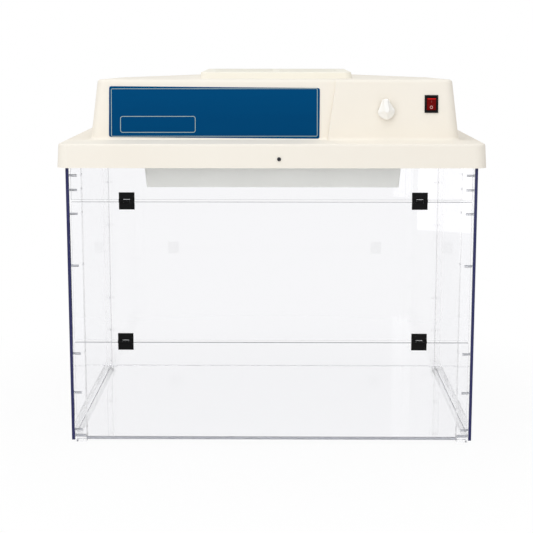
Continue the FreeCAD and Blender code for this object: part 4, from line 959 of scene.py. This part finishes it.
@dataclass
class Hinges:
    """The four butt hinges of the front panels."""

    screw_radius: float = 2.3 * MM
    screw_proud: float = 0.5 * MM
    screw_bite: float = 1.2 * MM
    screw_across: float = 9.2 * MM
    screw_from_edge: float = 4.6 * MM
    face_from_back: float = 1.6 * MM
    edge_radius: float = 0.35 * MM

    SHANK_SHARE = 0.5
    RECESS_DEPTH = 0.8
    TURNS = ((-1, 0.5), (1, 1.4))
    LEAVES = {
        "upper_{}_hinge_top_leaf": "cabinet",
        "upper_{}_hinge_bottom_leaf": "sash",
        "lower_{}_hinge_top_leaf": "sash",
        "lower_{}_hinge_bottom_leaf": "flap",
    }

    def build(self, nodes: NodeMap, finishes: Finishes) -> None:
        """Dresses leaves and pins, and adds the leaves' screws.

        Args:
            nodes: the frame's nodes.
            finishes: the materials.
        """
        for side in ("left", "right"):
            for pattern, body in self.LEAVES.items():
                leaf = pattern.format(side)
                dress(nodes[leaf], finishes.black)
                soften(nodes[leaf], self.edge_radius)
                self.leaf_screws(leaf, body, finishes)
            for level in ("upper", "lower"):
                dress(nodes[f"{level}_{side}_hinge_pin"], finishes.steel)
                soften(nodes[f"{level}_{side}_hinge_pin"], self.edge_radius)

    def leaf_screws(self, leaf: str, body: str, finishes: Finishes) -> None:
        """Makes the two screws of one leaf.

        Args:
            leaf: the leaf's node.
            body: the body that it rides on.
            finishes: the materials.
        """
        span = Span.of(leaf)
        far = span.high.z - self.screw_from_edge if "top" in leaf else span.low.z + self.screw_from_edge
        face = span.high.y - self.face_from_back
        shape = Shape()
        for hand, turn in self.TURNS:
            point = Vector((span.centre.x + hand * self.screw_across, face, far))
            screw = PanScrew(self.screw_radius, self.screw_proud, self.screw_radius * self.SHANK_SHARE,
                             self.screw_bite, recess_depth=self.RECESS_DEPTH)
            screw.add_to(shape, seat_on(point, Vector((0, -1, 0))), turn)
        shape.finish(f"{leaf}_screws", body, "black", finishes.black)


@dataclass
class Hood:
    """The moulded hood with its pre-filter cover, nameplate and rim screws."""

    border_inset: float = 4.4 * MM
    border_width: float = 1.3 * MM
    border_proud: float = 0.12 * MM
    border_sunk: float = 0.05 * MM
    border_lean: float = 0.12
    corner: float = 3.0 * MM
    least_corner: float = 0.2 * MM
    frame_corner: float = 1.6
    panel_left: float = 22.0 * MM
    panel_right: float = 168.0 * MM
    panel_low: float = 12.0 * MM
    panel_high: float = 44.0 * MM
    plate_round: float = 0.3 * MM
    pad_round: float = 1.5 * MM
    rim_head_radius: float = 3.8 * MM
    rim_head_height: float = 2.2 * MM
    rim_shank_radius: float = 2.0 * MM
    foot_search: Pair = (46.5 * MM, 60.0 * MM)
    cove_radius: float = 7.0 * MM
    cove_drop: float = 0.09
    cove_root: float = 0.6 * MM
    cove_steps: int = 8
    cove_crease: float = 50.0
    probe_gap: float = 3.0 * MM
    probe_start: float = 60.0 * MM
    cover_radius: float = 14.0 * MM
    cover_wall: float = 3.0 * MM
    cover_lean: float = 0.16
    cover_room: Pair = (0.3 * MM, 10.3 * MM)
    cover_bulge: float = 0.1 * MM
    cover_proud: float = 0.03 * MM
    cover_steps: int = 16

    LEAST_FACING = 0.7
    PLATE_FACING = 0.9
    PLATE_LEAST_AREA = 1e-5
    CORNER_STEPS = 6
    RIM_TURN = 0.4
    RIM_RECESS = {"recess_half": 0.55, "recess_depth": 0.7}

    def build(self, nodes: NodeMap, finishes: Finishes) -> None:
        """Dresses the mouldings and adds rounds, plate lines and rim screws.

        Args:
            nodes: the frame's nodes.
            finishes: the materials.
        """
        dress(nodes["hood_shell"], finishes.hood)
        dress(nodes["prefilter_cover"], finishes.cover)
        dress(nodes["prefilter_pad"], finishes.pad)
        soften(nodes["prefilter_pad"], self.pad_round, 3)
        dress(nodes["nameplate"], finishes.plate)
        soften(nodes["nameplate"], self.plate_round)
        dress(nodes["rim_sleeves"], finishes.grey)
        self.foot_cove(nodes["hood_shell"], finishes)
        self.cover_corners(finishes)
        self.plate_lines(nodes, finishes)
        self.rim_screws(nodes, finishes)

    def foot_path(self, shell: bpy.types.Object) -> list[tuple[Vector, Vector]]:
        """Feels along the hood's leaning sides a little above their foot.

        Args:
            shell: the hood.

        Returns:
            Points at the height of the cove's top, each with the level direction away from the side.
        """
        span = Span.of("hood_shell")
        heights = [v.co.z - span.low.z for v in shell.data.vertices]
        foot = span.low.z + min(z for z in heights if self.foot_search[0] < z < self.foot_search[1])
        tree = BVHTree.FromPolygons([v.co for v in shell.data.vertices],
                                    [tuple(p.vertices) for p in shell.data.polygons])
        centre = Vector((span.centre.x, span.centre.y, foot + self.cove_radius))
        half_x, half_y = span.size.x / 2 + self.probe_start, span.size.y / 2 + self.probe_start
        path = []
        for x, y in ((0, -1), (1, 0), (0, 1), (-1, 0)):
            edge, along = Vector((x * half_x, y * half_y, 0)), Vector((-y, x, 0))
            reach = half_y if x else half_x
            aim = -edge.normalized()
            steps = int(2 * reach / self.probe_gap)
            for k in range(steps):
                start = centre + edge + along * (2 * k / steps - 1) * reach
                spot, normal, _, _ = tree.ray_cast(start, aim, 3 * self.probe_start)
                if spot is not None and normal.dot(aim) < -self.LEAST_FACING:
                    path.append((spot, Vector((normal.x, normal.y, 0)).normalized()))
        return path

    def foot_cove(self, shell: bpy.types.Object, finishes: Finishes) -> None:
        """Blends the hood's foot into its shelf with a hollow round.

        Args:
            shell: the hood.
            finishes: the materials.
        """
        radius, root = self.cove_radius, self.cove_root
        hollow = [QUARTER * k / self.cove_steps for k in range(self.cove_steps + 1)]
        profile = [(-root, 0.0)] + [(radius * (1 - math.cos(a)), -radius * math.sin(a)) for a in hollow]
        profile += [(radius, -radius - root), (-root, -radius - root)]
        profile = [(away, up - self.cove_drop * max(away, 0.0)) for away, up in profile]
        shape = Shape()
        shape.loft([[spot + out * away + Vector((0, 0, up)) for away, up in profile]
                    for spot, out in self.foot_path(shell)], closed=True)
        shape.finish("hood_foot_cove", "cabinet", "hood", finishes.hood, self.cove_crease)

    def cover_corners(self, finishes: Finishes) -> None:
        """Rounds the cover's corners on their inner side, so that its wall is even there.

        Args:
            finishes: the materials.
        """
        span = Span.of("prefilter_cover")
        quarter = [QUARTER * k / self.cover_steps for k in range(self.cover_steps + 1)]
        outer = self.cover_radius + self.cover_proud
        band = [(outer + self.cover_bulge * math.sin(2 * a), a) for a in quarter]
        band += [(self.cover_radius - self.cover_wall, a) for a in reversed(quarter)]
        shape = Shape()
        for across, along in ((-1, -1), (-1, 1), (1, -1), (1, 1)):
            rings = []
            for height in self.cover_room:
                inset = self.cover_radius + self.cover_lean * height
                corner = Vector(((span.high.x if across > 0 else span.low.x) - across * inset,
                                 (span.high.y if along > 0 else span.low.y) - along * inset, span.low.z))
                rings.append([corner + Vector((across, along, 1)) * polar(radius, a, height)
                              for radius, a in band])
            shape.loft(rings)
        shape.finish("cover_corner_rounds", "cabinet", "hood", finishes.cover)

    def plate_seat(self, node: bpy.types.Object) -> tuple[Matrix, float, float]:
        """Finds the nameplate's front face.

        Args:
            node: the nameplate.

        Returns:
            A seat at the face's middle with Z outwards, and the face's half width and half height.
        """
        faces = [p for p in node.data.polygons
                 if p.normal.y < -self.PLATE_FACING and p.area > self.PLATE_LEAST_AREA]
        out = sum((p.normal * p.area for p in faces), Vector()).normalized()
        corners = [node.data.vertices[v].co for p in faces for v in p.vertices]
        low = min(corners, key=lambda c: c.x + c.z)
        right = min(corners, key=lambda c: c.z - c.x)
        along = (right - low).normalized()
        along = (along - out * along.dot(out)).normalized()
        up = out.cross(along)
        centre = sum(corners, Vector()) / len(corners)
        xs = [(c - centre).dot(along) for c in corners]
        ys = [(c - centre).dot(up) for c in corners]
        middle = centre + along * (max(xs) + min(xs)) / 2 + up * (max(ys) + min(ys)) / 2
        seat = Matrix.Translation(middle) @ Matrix((along, up, out)).transposed().to_4x4()
        return seat, (max(xs) - min(xs)) / 2, (max(ys) - min(ys)) / 2

    def outline(self, left: float, right: float, low: float, high: float, radius: float) -> list[Pair]:
        """Draws a rectangle with round corners.

        Args:
            left: the left side.
            right: the right side.
            low: the lower side.
            high: the upper side.
            radius: the corners' radius.

        Returns:
            The points, going round once.
        """
        points = []
        for x, y, start in ((right, high, 0), (left, high, 90), (left, low, 180), (right, low, 270)):
            cx = x - radius if x == right else x + radius
            cy = y - radius if y == high else y + radius
            for k in range(self.CORNER_STEPS + 1):
                a = math.radians(start + 90 / self.CORNER_STEPS * k)
                points.append((cx + radius * math.cos(a), cy + radius * math.sin(a)))
        return points

    def strip(self, name: str, seat: Matrix, box: tuple[float, float, float, float], radius: float,
              finishes: Finishes) -> None:
        """Lays a thin raised line round a box.

        Args:
            name: the line's name.
            seat: the face that it lies on.
            box: its left, right, low and high sides, at the line's outer edge.
            radius: the corners' radius at the outer edge.
            finishes: the materials.
        """
        left, right, low, high = box
        wide, lift, lean = self.border_width, self.border_proud, self.border_width * self.border_lean
        rings = []
        for inset, height in ((0.0, -self.border_sunk), (lean, lift), (wide - lean, lift),
                              (wide, -self.border_sunk)):
            points = self.outline(left + inset, right - inset, low + inset, high - inset,
                                  max(radius - inset, self.least_corner))
            rings.append([seat @ Vector((x, y, height)) for x, y in points])
        shape = Shape()
        shape.loft(rings, closed=True)
        shape.finish(name, "cabinet", "nameplate", finishes.line)

    def plate_lines(self, nodes: NodeMap, finishes: Finishes) -> None:
        """Lays the plate's border line and its plain inner frame.

        Args:
            nodes: the frame's nodes.
            finishes: the materials.
        """
        seat, half, tall = self.plate_seat(nodes["nameplate"])
        inset = self.border_inset
        self.strip("plate_border_line", seat, (inset - half, half - inset, inset - tall, tall - inset),
                   self.corner, finishes)
        self.strip("plate_inner_frame", seat, (self.panel_left - half, self.panel_right - half,
                                               self.panel_low - tall, self.panel_high - tall),
                   self.corner * self.frame_corner, finishes)

    def rim_screws(self, nodes: NodeMap, finishes: Finishes) -> None:
        """Makes the four screws through the hood's rim.

        Args:
            nodes: the frame's nodes.
            finishes: the materials.
        """
        head = self.rim_head_height
        shape = Shape()
        for k, span in enumerate(Span.islands(nodes["rim_screws"])):
            across = span.size.x > span.size.y
            out = Vector((math.copysign(1, span.centre.x), 0, 0) if across
                         else (0, math.copysign(1, span.centre.y), 0))
            length = max(span.size.x, span.size.y)
            point = span.centre + out * (length / 2 - head)
            screw = PanScrew(self.rim_head_radius, head, self.rim_shank_radius, length - head,
                             **self.RIM_RECESS)
            screw.add_to(shape, seat_on(point, out), self.RIM_TURN * k)
        piece = shape.finish("rim_threaded_screws", "cabinet", "chrome", finishes.dark_screw)
        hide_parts("rim_screws")


@dataclass
class SpeedKnob:
    """The pointer knob of the fan's speed control, a drop with its point upwards.

    Each level gives its height, the round end's radius, how far the lower end is drawn to a point from 0
    to 1, the point's reach and the half width at the point. Lengths are in millimetres.
    """

    lean_left: float = 6.0
    crease: float = 28.0
    sides: int = 72
    levels: tuple[tuple[float, float, float, float, float], ...] = (
        (0.0, 16.0, 0.1, 16.0, 8.3),
        (0.6, 16.6, 0.15, 17.0, 7.47),
        (3.6, 16.6, 0.35, 19.78, 5.644),
        (5.2, 15.9, 0.5, 22.31, 5.8),
        (7.0, 14.2, 0.7, 23.0, 5.0),
        (10.5, 10.4, 0.85, 22.8, 4.6),
        (14.5, 7.0, 0.6, 22.2, 4.3),
        (17.6, 5.0, 0.5, 21.2, 3.8),
        (18.3, 4.2, 0.4, 20.4, 3.2),
        (18.5, 3.2, 0.3, 19.4, 2.5),
    )

    NOSE_CURVE = 1.15
    ON_THE_AXIS = 1e-9

    def section(self, scale: float, sharp: float, nose: float, width: float) -> list[Pair]:
        """Draws one level of the knob.

        Args:
            scale: the round end's radius.
            sharp: how far the lower end is drawn to a point, from 0 to 1.
            nose: how far the point reaches.
            width: the half width at the point.

        Returns:
            The level's points.
        """
        points = []
        for a in turns(self.sides):
            x, y = scale * math.sin(a), scale * math.cos(a)
            if y > 0:
                y = nose * (y / scale) ** self.NOSE_CURVE
                wide = width + (abs(x) - width * abs(math.sin(a)))
                limit = width + (scale - width) * (1 - y / nose)
                x = math.copysign(min(wide, limit), x) if abs(x) > self.ON_THE_AXIS else 0.0
            else:
                y = -(1 - sharp) * abs(y) - sharp * scale * (1 - abs(x) / scale)
            points.append((x, y))
        return points

    def build(self, frame: dict[str, Any], finishes: Finishes) -> None:
        """Makes the knob in place of the plain one.

        Args:
            frame: the loaded frame.
            finishes: the materials.
        """
        seat = seat_on(*joint(frame, "speed_turn"))
        back = seat.inverted()
        base = min((back @ corner.co).z for corner in frame["nodes"]["speed_knob"].data.vertices)
        lean = Matrix.Rotation(math.radians(self.lean_left), 4, "Z")
        seat = seat @ Matrix.Translation((0, 0, base)) @ lean
        shape = Shape()
        shape.loft([[seat @ Vector((x, y, z * MM))
                     for x, y in self.section(scale * MM, sharp, nose * MM, width * MM)]
                    for z, scale, sharp, nose, width in self.levels])
        piece = shape.finish("pointer_knob", "speed_dial", "knob", finishes.knob, self.crease)
        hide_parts("speed_knob")


@dataclass
class PowerSwitch:
    """The rocker switch with its frame and marks."""

    width: float = 17.6 * MM
    half: float = 11.6 * MM
    crest: float = 2.4 * MM
    dip: float = 0.36 * MM
    rise_power: float = 1.7
    under: float = 4.2 * MM
    foot_in: float = 0.6 * MM
    end_drop: float = 0.9 * MM
    end_round: Pair = (0.35 * MM, 0.15 * MM)
    face_rows: int = 10
    pivot_depth: float = 1.5 * MM
    tilt: float = 8.0
    crease: float = 40.0
    ring_out: float = 2.9 * MM
    ring_in: float = 2.0 * MM
    ring_drop: float = 6.0 * MM
    ring_sides: int = 40
    bar_half: float = 0.5 * MM
    bar_tall: float = 2.1 * MM
    bar_rise: float = 4.8 * MM
    mark_proud: float = 0.06 * MM
    mark_sunk: float = 0.2 * MM
    # The band is a painted highlight on the rocker's raised end.
    band_drop: float = 2.6 * MM
    band_end: float = 0.5 * MM
    band_side: float = 0.9 * MM
    band_cut: Pair = (0.8 * MM, 0.5 * MM)
    side_round: float = 0.8 * MM

    def face(self, y: float) -> float:
        """Gives the height of the rocker's face above its pivot at a place along it."""
        run = (abs(y) / self.half) ** self.rise_power
        return self.pivot_depth + self.dip + (self.crest - self.dip) * run

    def build(self, frame: dict[str, Any], finishes: Finishes) -> None:
        """Makes the rocker in place of the plain one, and dresses its frame.

        Args:
            frame: the loaded frame.
            finishes: the materials.
        """
        dress(frame["nodes"]["rocker_housing"], finishes.black)
        seat = seat_on(joint(frame, "power_tip")[0], joint(frame, "speed_turn")[1])
        seat = seat @ Matrix.Rotation(math.radians(self.tilt), 4, "X")
        top, (round_run, round_drop) = self.face(self.half), self.end_round
        end = [(self.half - round_run, top - round_drop), (self.half, top - self.end_drop),
               (self.half - self.foot_in, -self.under)]
        outline = [(-y, z) for y, z in reversed(end)]
        outline += [(y * MM, self.face(y * MM)) for y in range(-self.face_rows, self.face_rows + 1)] + end
        wide, side = self.width / 2, self.side_round
        shape = Shape()
        shape.loft([[seat @ Vector((x, y, z - (drop if z > 0 else 0.0))) for y, z in outline]
                    for x, drop in ((-wide, side), (side - wide, 0.0), (wide - side, 0.0), (wide, side))])
        piece = shape.finish("rocker_button", "switch_rocker", "red", finishes.red, self.crease)
        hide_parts("power_rocker")
        self.ring_mark(seat, finishes)
        self.bar_mark(seat, finishes)
        self.crest_band(seat, finishes)

    def ring_mark(self, seat: Matrix, finishes: Finishes) -> None:
        """Lays the ring on the rocker's face.

        Args:
            seat: the rocker's pivot.
            finishes: the materials.
        """
        rings = []
        for radius, lift in ((self.ring_out, -self.mark_sunk), (self.ring_out, self.mark_proud),
                             (self.ring_in, self.mark_proud), (self.ring_in, -self.mark_sunk)):
            points = []
            for a in turns(self.ring_sides):
                y = radius * math.sin(a) - self.ring_drop
                points.append(seat @ Vector((radius * math.cos(a), y, self.face(y) + lift)))
            rings.append(points)
        shape = Shape()
        shape.loft(rings, closed=True)
        shape.finish("off_ring", "switch_rocker", "red", finishes.mark)

    def bar_mark(self, seat: Matrix, finishes: Finishes) -> None:
        """Lays the bar on the rocker's face.

        Args:
            seat: the rocker's pivot.
            finishes: the materials.
        """
        half, proud, sunk = self.bar_half, self.mark_proud, -self.mark_sunk
        shape = Shape()
        shape.loft([[seat @ Vector((x, y, self.face(y) + lift))
                     for x, lift in ((-half, sunk), (half, sunk), (half, proud), (-half, proud))]
                    for y in (self.bar_rise - self.bar_tall, self.bar_rise, self.bar_rise + self.bar_tall)])
        shape.finish("on_bar", "switch_rocker", "red", finishes.faint_mark)

    def crest_band(self, seat: Matrix, finishes: Finishes) -> None:
        """Lays a painted highlight: a bright red band that stands in for the light on the rocker's raised
        end.

        Args:
            seat: the rocker's pivot.
            finishes: the materials.
        """
        low, high = self.half - self.band_drop, self.half - self.band_end
        side, (run, cut) = self.width / 2 - self.band_side, self.band_cut
        proud, sunk = self.mark_proud, -self.mark_sunk
        shape = Shape()
        shape.loft([[seat @ Vector((x, y, self.face(y) + lift))
                     for y, lift in ((low + into, sunk), (low + into, proud), (high - into, proud),
                                     (high - into, sunk))]
                    for x, into in ((-side, cut), (run - side, 0.0), (side - run, 0.0), (side, cut))])
        shape.finish("rocker_painted_highlight", "switch_rocker", "red", finishes.crest)


@dataclass
class Lamps:
    """The two lamp tubes under the hood, with their box and ballast.

    The cap's mouth and end give how far each point lies inside the cap's radius, and how far it lies from
    the mouth or from the end. Both are in millimetres.
    """

    glass_neck: float = 1.4 * MM
    glass_in_cap: float = 3.0 * MM
    neck_length: float = 3.5 * MM
    shoulder: float = 6.0 * MM
    hole_share: float = 0.3
    glass_sides: int = 48
    cap_length: float = 14.0 * MM
    cap_extra: float = 0.4 * MM
    cap_mouth: Profile = ((1.3, 0.0), (0.0, 0.4), (0.0, 3.0), (0.5, 4.0), (0.0, 5.0))
    cap_end: Profile = ((0.0, 1.2), (0.9, 0.2), (2.0, 0.0))
    cap_sides: int = 40
    pin_length: float = 7.0 * MM
    pin_radius: float = 1.2 * MM
    pin_spread: float = 6.35 * MM
    pin_root: float = 0.5 * MM
    pin_tip: float = 0.6 * MM
    pin_sides: int = 16
    edge_radius: float = 0.8 * MM

    def build(self, nodes: NodeMap, finishes: Finishes) -> None:
        """Makes glass tubes and metal caps in place of the plain tubes.

        Args:
            nodes: the frame's nodes.
            finishes: the materials.
        """
        dress(nodes["lamp_box"], finishes.white_plate)
        dress(nodes["ballast"], finishes.steel)
        soften(nodes["ballast"], self.edge_radius)
        for name, material in (("white_tube", finishes.phosphor), ("ultraviolet_tube", finishes.quartz)):
            dress(nodes[f"{name}_holders"], finishes.grey)
            soften(nodes[f"{name}_holders"], self.edge_radius)
            self.tube(name, material, finishes)

    def tube(self, name: str, material: bpy.types.Material, finishes: Finishes) -> None:
        """Makes one tube.

        Args:
            name: the tube's node.
            material: the finish of its glass.
            finishes: the materials.
        """
        span = Span.of(name)
        outer = span.size.z / 2
        half = span.size.x / 2 - self.pin_length
        seat = seat_on(span.centre, Vector((1, 0, 0)))
        glass = self.glass(outer - self.cap_extra, half - self.cap_length + self.glass_in_cap, seat)
        piece = glass.finish(f"{name}_glass", "cabinet", "tube", material)
        caps = Shape()
        for hand in (-1, 1):
            self.cap(caps, outer, half, seat @ Matrix.Rotation(math.pi if hand < 0 else 0.0, 4, "X"))
        metal = caps.finish(f"{name}_caps", "cabinet", "tube", finishes.frame)
        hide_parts(name)
        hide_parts(name)

    def glass(self, radius: float, half: float, seat: Matrix) -> Shape:
        """Turns the glass of one tube, which is drawn in at both ends.

        Args:
            radius: its radius.
            half: its half length.
            seat: its middle, with Z along the tube.

        Returns:
            Its shape.
        """
        neck = radius - self.glass_neck
        end = [(radius, half - self.shoulder), (neck, half - self.neck_length), (neck, half),
               (neck * self.hole_share, half)]
        shape = Shape()
        start = [(wide, -z) for wide, z in reversed(end)]
        shape.lathe(start + [(radius, 0.0)] + end, seat, self.glass_sides)
        return shape

    def cap(self, shape: Shape, radius: float, half: float, seat: Matrix) -> None:
        """Turns one cap and its two pins.

        Args:
            shape: the shape that takes them.
            radius: the cap's radius.
            half: how far the cap's end lies from the tube's middle.
            seat: the tube's middle, with Z towards the cap.
        """
        low = half - self.cap_length
        shape.lathe([(radius - drop * MM, low + up * MM) for drop, up in self.cap_mouth]
                    + [(radius - drop * MM, half - down * MM) for drop, down in self.cap_end],
                    seat, self.cap_sides)
        for side in (-1, 1):
            tip = half + self.pin_length
            shape.lathe([(self.pin_radius, half - self.pin_root), (self.pin_radius, tip - self.pin_tip),
                         (self.pin_radius / 2, tip)],
                        seat @ Matrix.Translation((0, side * self.pin_spread, 0)), self.pin_sides)


@dataclass
class Works:
    """The fan, filter, plates and sockets inside the hood."""

    edge_radius: float = 0.5 * MM

    def build(self, nodes: NodeMap, finishes: Finishes) -> None:
        """Dresses what the hood holds.

        Args:
            nodes: the frame's nodes.
            finishes: the materials.
        """
        looks = {
            "ceiling_plate": finishes.white_plate,
            "fan_plate": finishes.steel,
            "fan_spacers": finishes.steel,
            "motor_plate": finishes.steel,
            "motor_shaft": finishes.chrome,
            "filter_clamps": finishes.steel,
            "fan_motor": finishes.cast,
            "rotor_cup": finishes.dark_paint,
            "impeller": finishes.dark_paint,
            "filter_frame": finishes.frame,
            "filter_media": finishes.paper,
            "filter_gasket": finishes.foam,
            "speed_control": finishes.black,
            "control_nut": finishes.chrome,
            "control_spindle": finishes.chrome,
            "power_inlet": finishes.black,
            "inlet_pins": finishes.chrome,
        }
        for name, material in looks.items():
            dress(nodes[name], material)
        for name in ("ceiling_plate", "filter_frame", "filter_clamps", "speed_control"):
            soften(nodes[name], self.edge_radius)


@dataclass(frozen=True)
class SoftLamp:
    """One square lamp that looks at the cabinet, with its size in metres and its power in watts."""

    name: str
    place: Triple
    size: float
    power: float
    colour: Triple = (1.0, 1.0, 1.0)

    def hang(self, target: Triple) -> None:
        """Hangs the lamp.

        Args:
            target: the point that it looks at.
        """
        data = bpy.data.lights.new(self.name, "AREA")
        data.shape = "SQUARE"
        data.size = self.size
        data.energy = self.power
        data.color = self.colour
        lamp = bpy.data.objects.new(self.name, data)
        bpy.context.scene.collection.objects.link(lamp)
        lamp.location = self.place
        aim = Vector(target) - Vector(self.place)
        lamp.rotation_euler = aim.to_track_quat("-Z", "Y").to_euler()


@dataclass
class Studio:
    """Floor, world, lamps and camera."""

    floor_half: float = 8.0
    floor_colour: Rgb = (244, 244, 244)
    floor_shade: Rgb = (241, 241, 241)
    floor_per_metre: float = 3.0
    floor_keep: float = 0.93
    shadow_reach: Pair = (0.45, 0.95)
    ambient: float = 0.63
    lamps_target: Triple = (0.0, 0.0, 0.45)
    camera_place: Triple = (0.0160, -2.856, 0.789)
    pitch: float = 80.33
    yaw: float = 0.57
    lens: float = 90.8
    sensor: float = 36.0
    sight: float = 50.0

    LAMPS = (
        SoftLamp("key_lamp", (-1.9, -2.7, 1.6), 1.6, 19.5),
        SoftLamp("fill_lamp", (1.4, -2.9, 0.4), 1.8, 12.2),
        SoftLamp("top_lamp", (-0.3, -0.9, 2.8), 2.2, 24.0, (0.91, 0.955, 1.0)),
    )

    def floor(self) -> None:
        """Lays the pale floor, which keeps a soft shadow."""
        paint = Paint("floor")
        grain = paint.blend(paint.noise(self.floor_per_metre), self.floor_colour, self.floor_shade)
        matt = paint.add("BsdfDiffuse", {"Color": grain})
        glow = paint.add("Emission", {"Color": WHITE, "Strength": 1.0})
        away = paint.add("VectorMath", {0: paint.place}, operation="LENGTH").outputs["Value"]
        keep = paint.remap(away, self.shadow_reach, (self.floor_keep, 1.0), interpolation_type="SMOOTHSTEP")
        share = paint.reckon("MULTIPLY", paint.seen(), keep)
        material = paint.close(paint.add("MixShader", {0: share, 1: matt.outputs[0], 2: glow.outputs[0]}))
        shape = Shape()
        half = self.floor_half
        shape.mesh.faces.new(shape.ring(Vector((x * half, y * half, 0.0))
                                        for x, y in ((-1, -1), (1, -1), (1, 1), (-1, 1))))
        ground = bpy.data.objects.new("floor", shape.mesh_data("floor", material))
        bpy.context.scene.collection.objects.link(ground)

    def world(self) -> None:
        """Gives a white background and a weaker even light."""
        world = bpy.data.worlds.new("studio")
        bpy.context.scene.world = world
        world.use_nodes = True
        sky = Nodes(world.node_tree)
        strength = sky.remap(sky.seen(), (0.0, 1.0), (self.ambient, 1.0))
        back = sky.add("Background", {"Color": WHITE, "Strength": strength})
        sky.add("OutputWorld", {"Surface": back.outputs[0]})

    def camera(self) -> None:
        """Stands the camera where the photograph was taken from."""
        data = bpy.data.cameras.new("camera")
        data.lens = self.lens
        data.sensor_width = self.sensor
        data.clip_end = self.sight
        camera = bpy.data.objects.new("camera", data)
        bpy.context.scene.collection.objects.link(camera)
        camera.location = self.camera_place
        camera.rotation_euler = (math.radians(self.pitch), 0.0, math.radians(self.yaw))
        bpy.context.scene.camera = camera

    def build(self) -> None:
        """Sets the whole studio up."""
        self.floor()
        self.world()
        for lamp in self.LAMPS:
            lamp.hang(self.lamps_target)
        self.camera()
        bpy.context.scene.view_settings.view_transform = "Standard"


def main(frame: dict[str, Any]) -> None:
    """Dresses the whole cabinet.

    Args:
        frame: the loaded frame.
    """
    logging.basicConfig(level=logging.INFO, format="%(message)s")
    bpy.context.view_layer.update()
    nodes = frame["nodes"]
    finishes = Finishes.build()
    ClearCase().build(nodes, finishes)
    LOG.info("clear case done")
    Hinges().build(nodes, finishes)
    LOG.info("hinges done")
    Hood().build(nodes, finishes)
    LOG.info("hood done")
    SpeedKnob().build(frame, finishes)
    PowerSwitch().build(frame, finishes)
    LOG.info("controls done")
    Lamps().build(nodes, finishes)
    Works().build(nodes, finishes)
    LOG.info("lamps and works done")
    Studio().build()


if __name__ == "__main__":
    main(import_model())
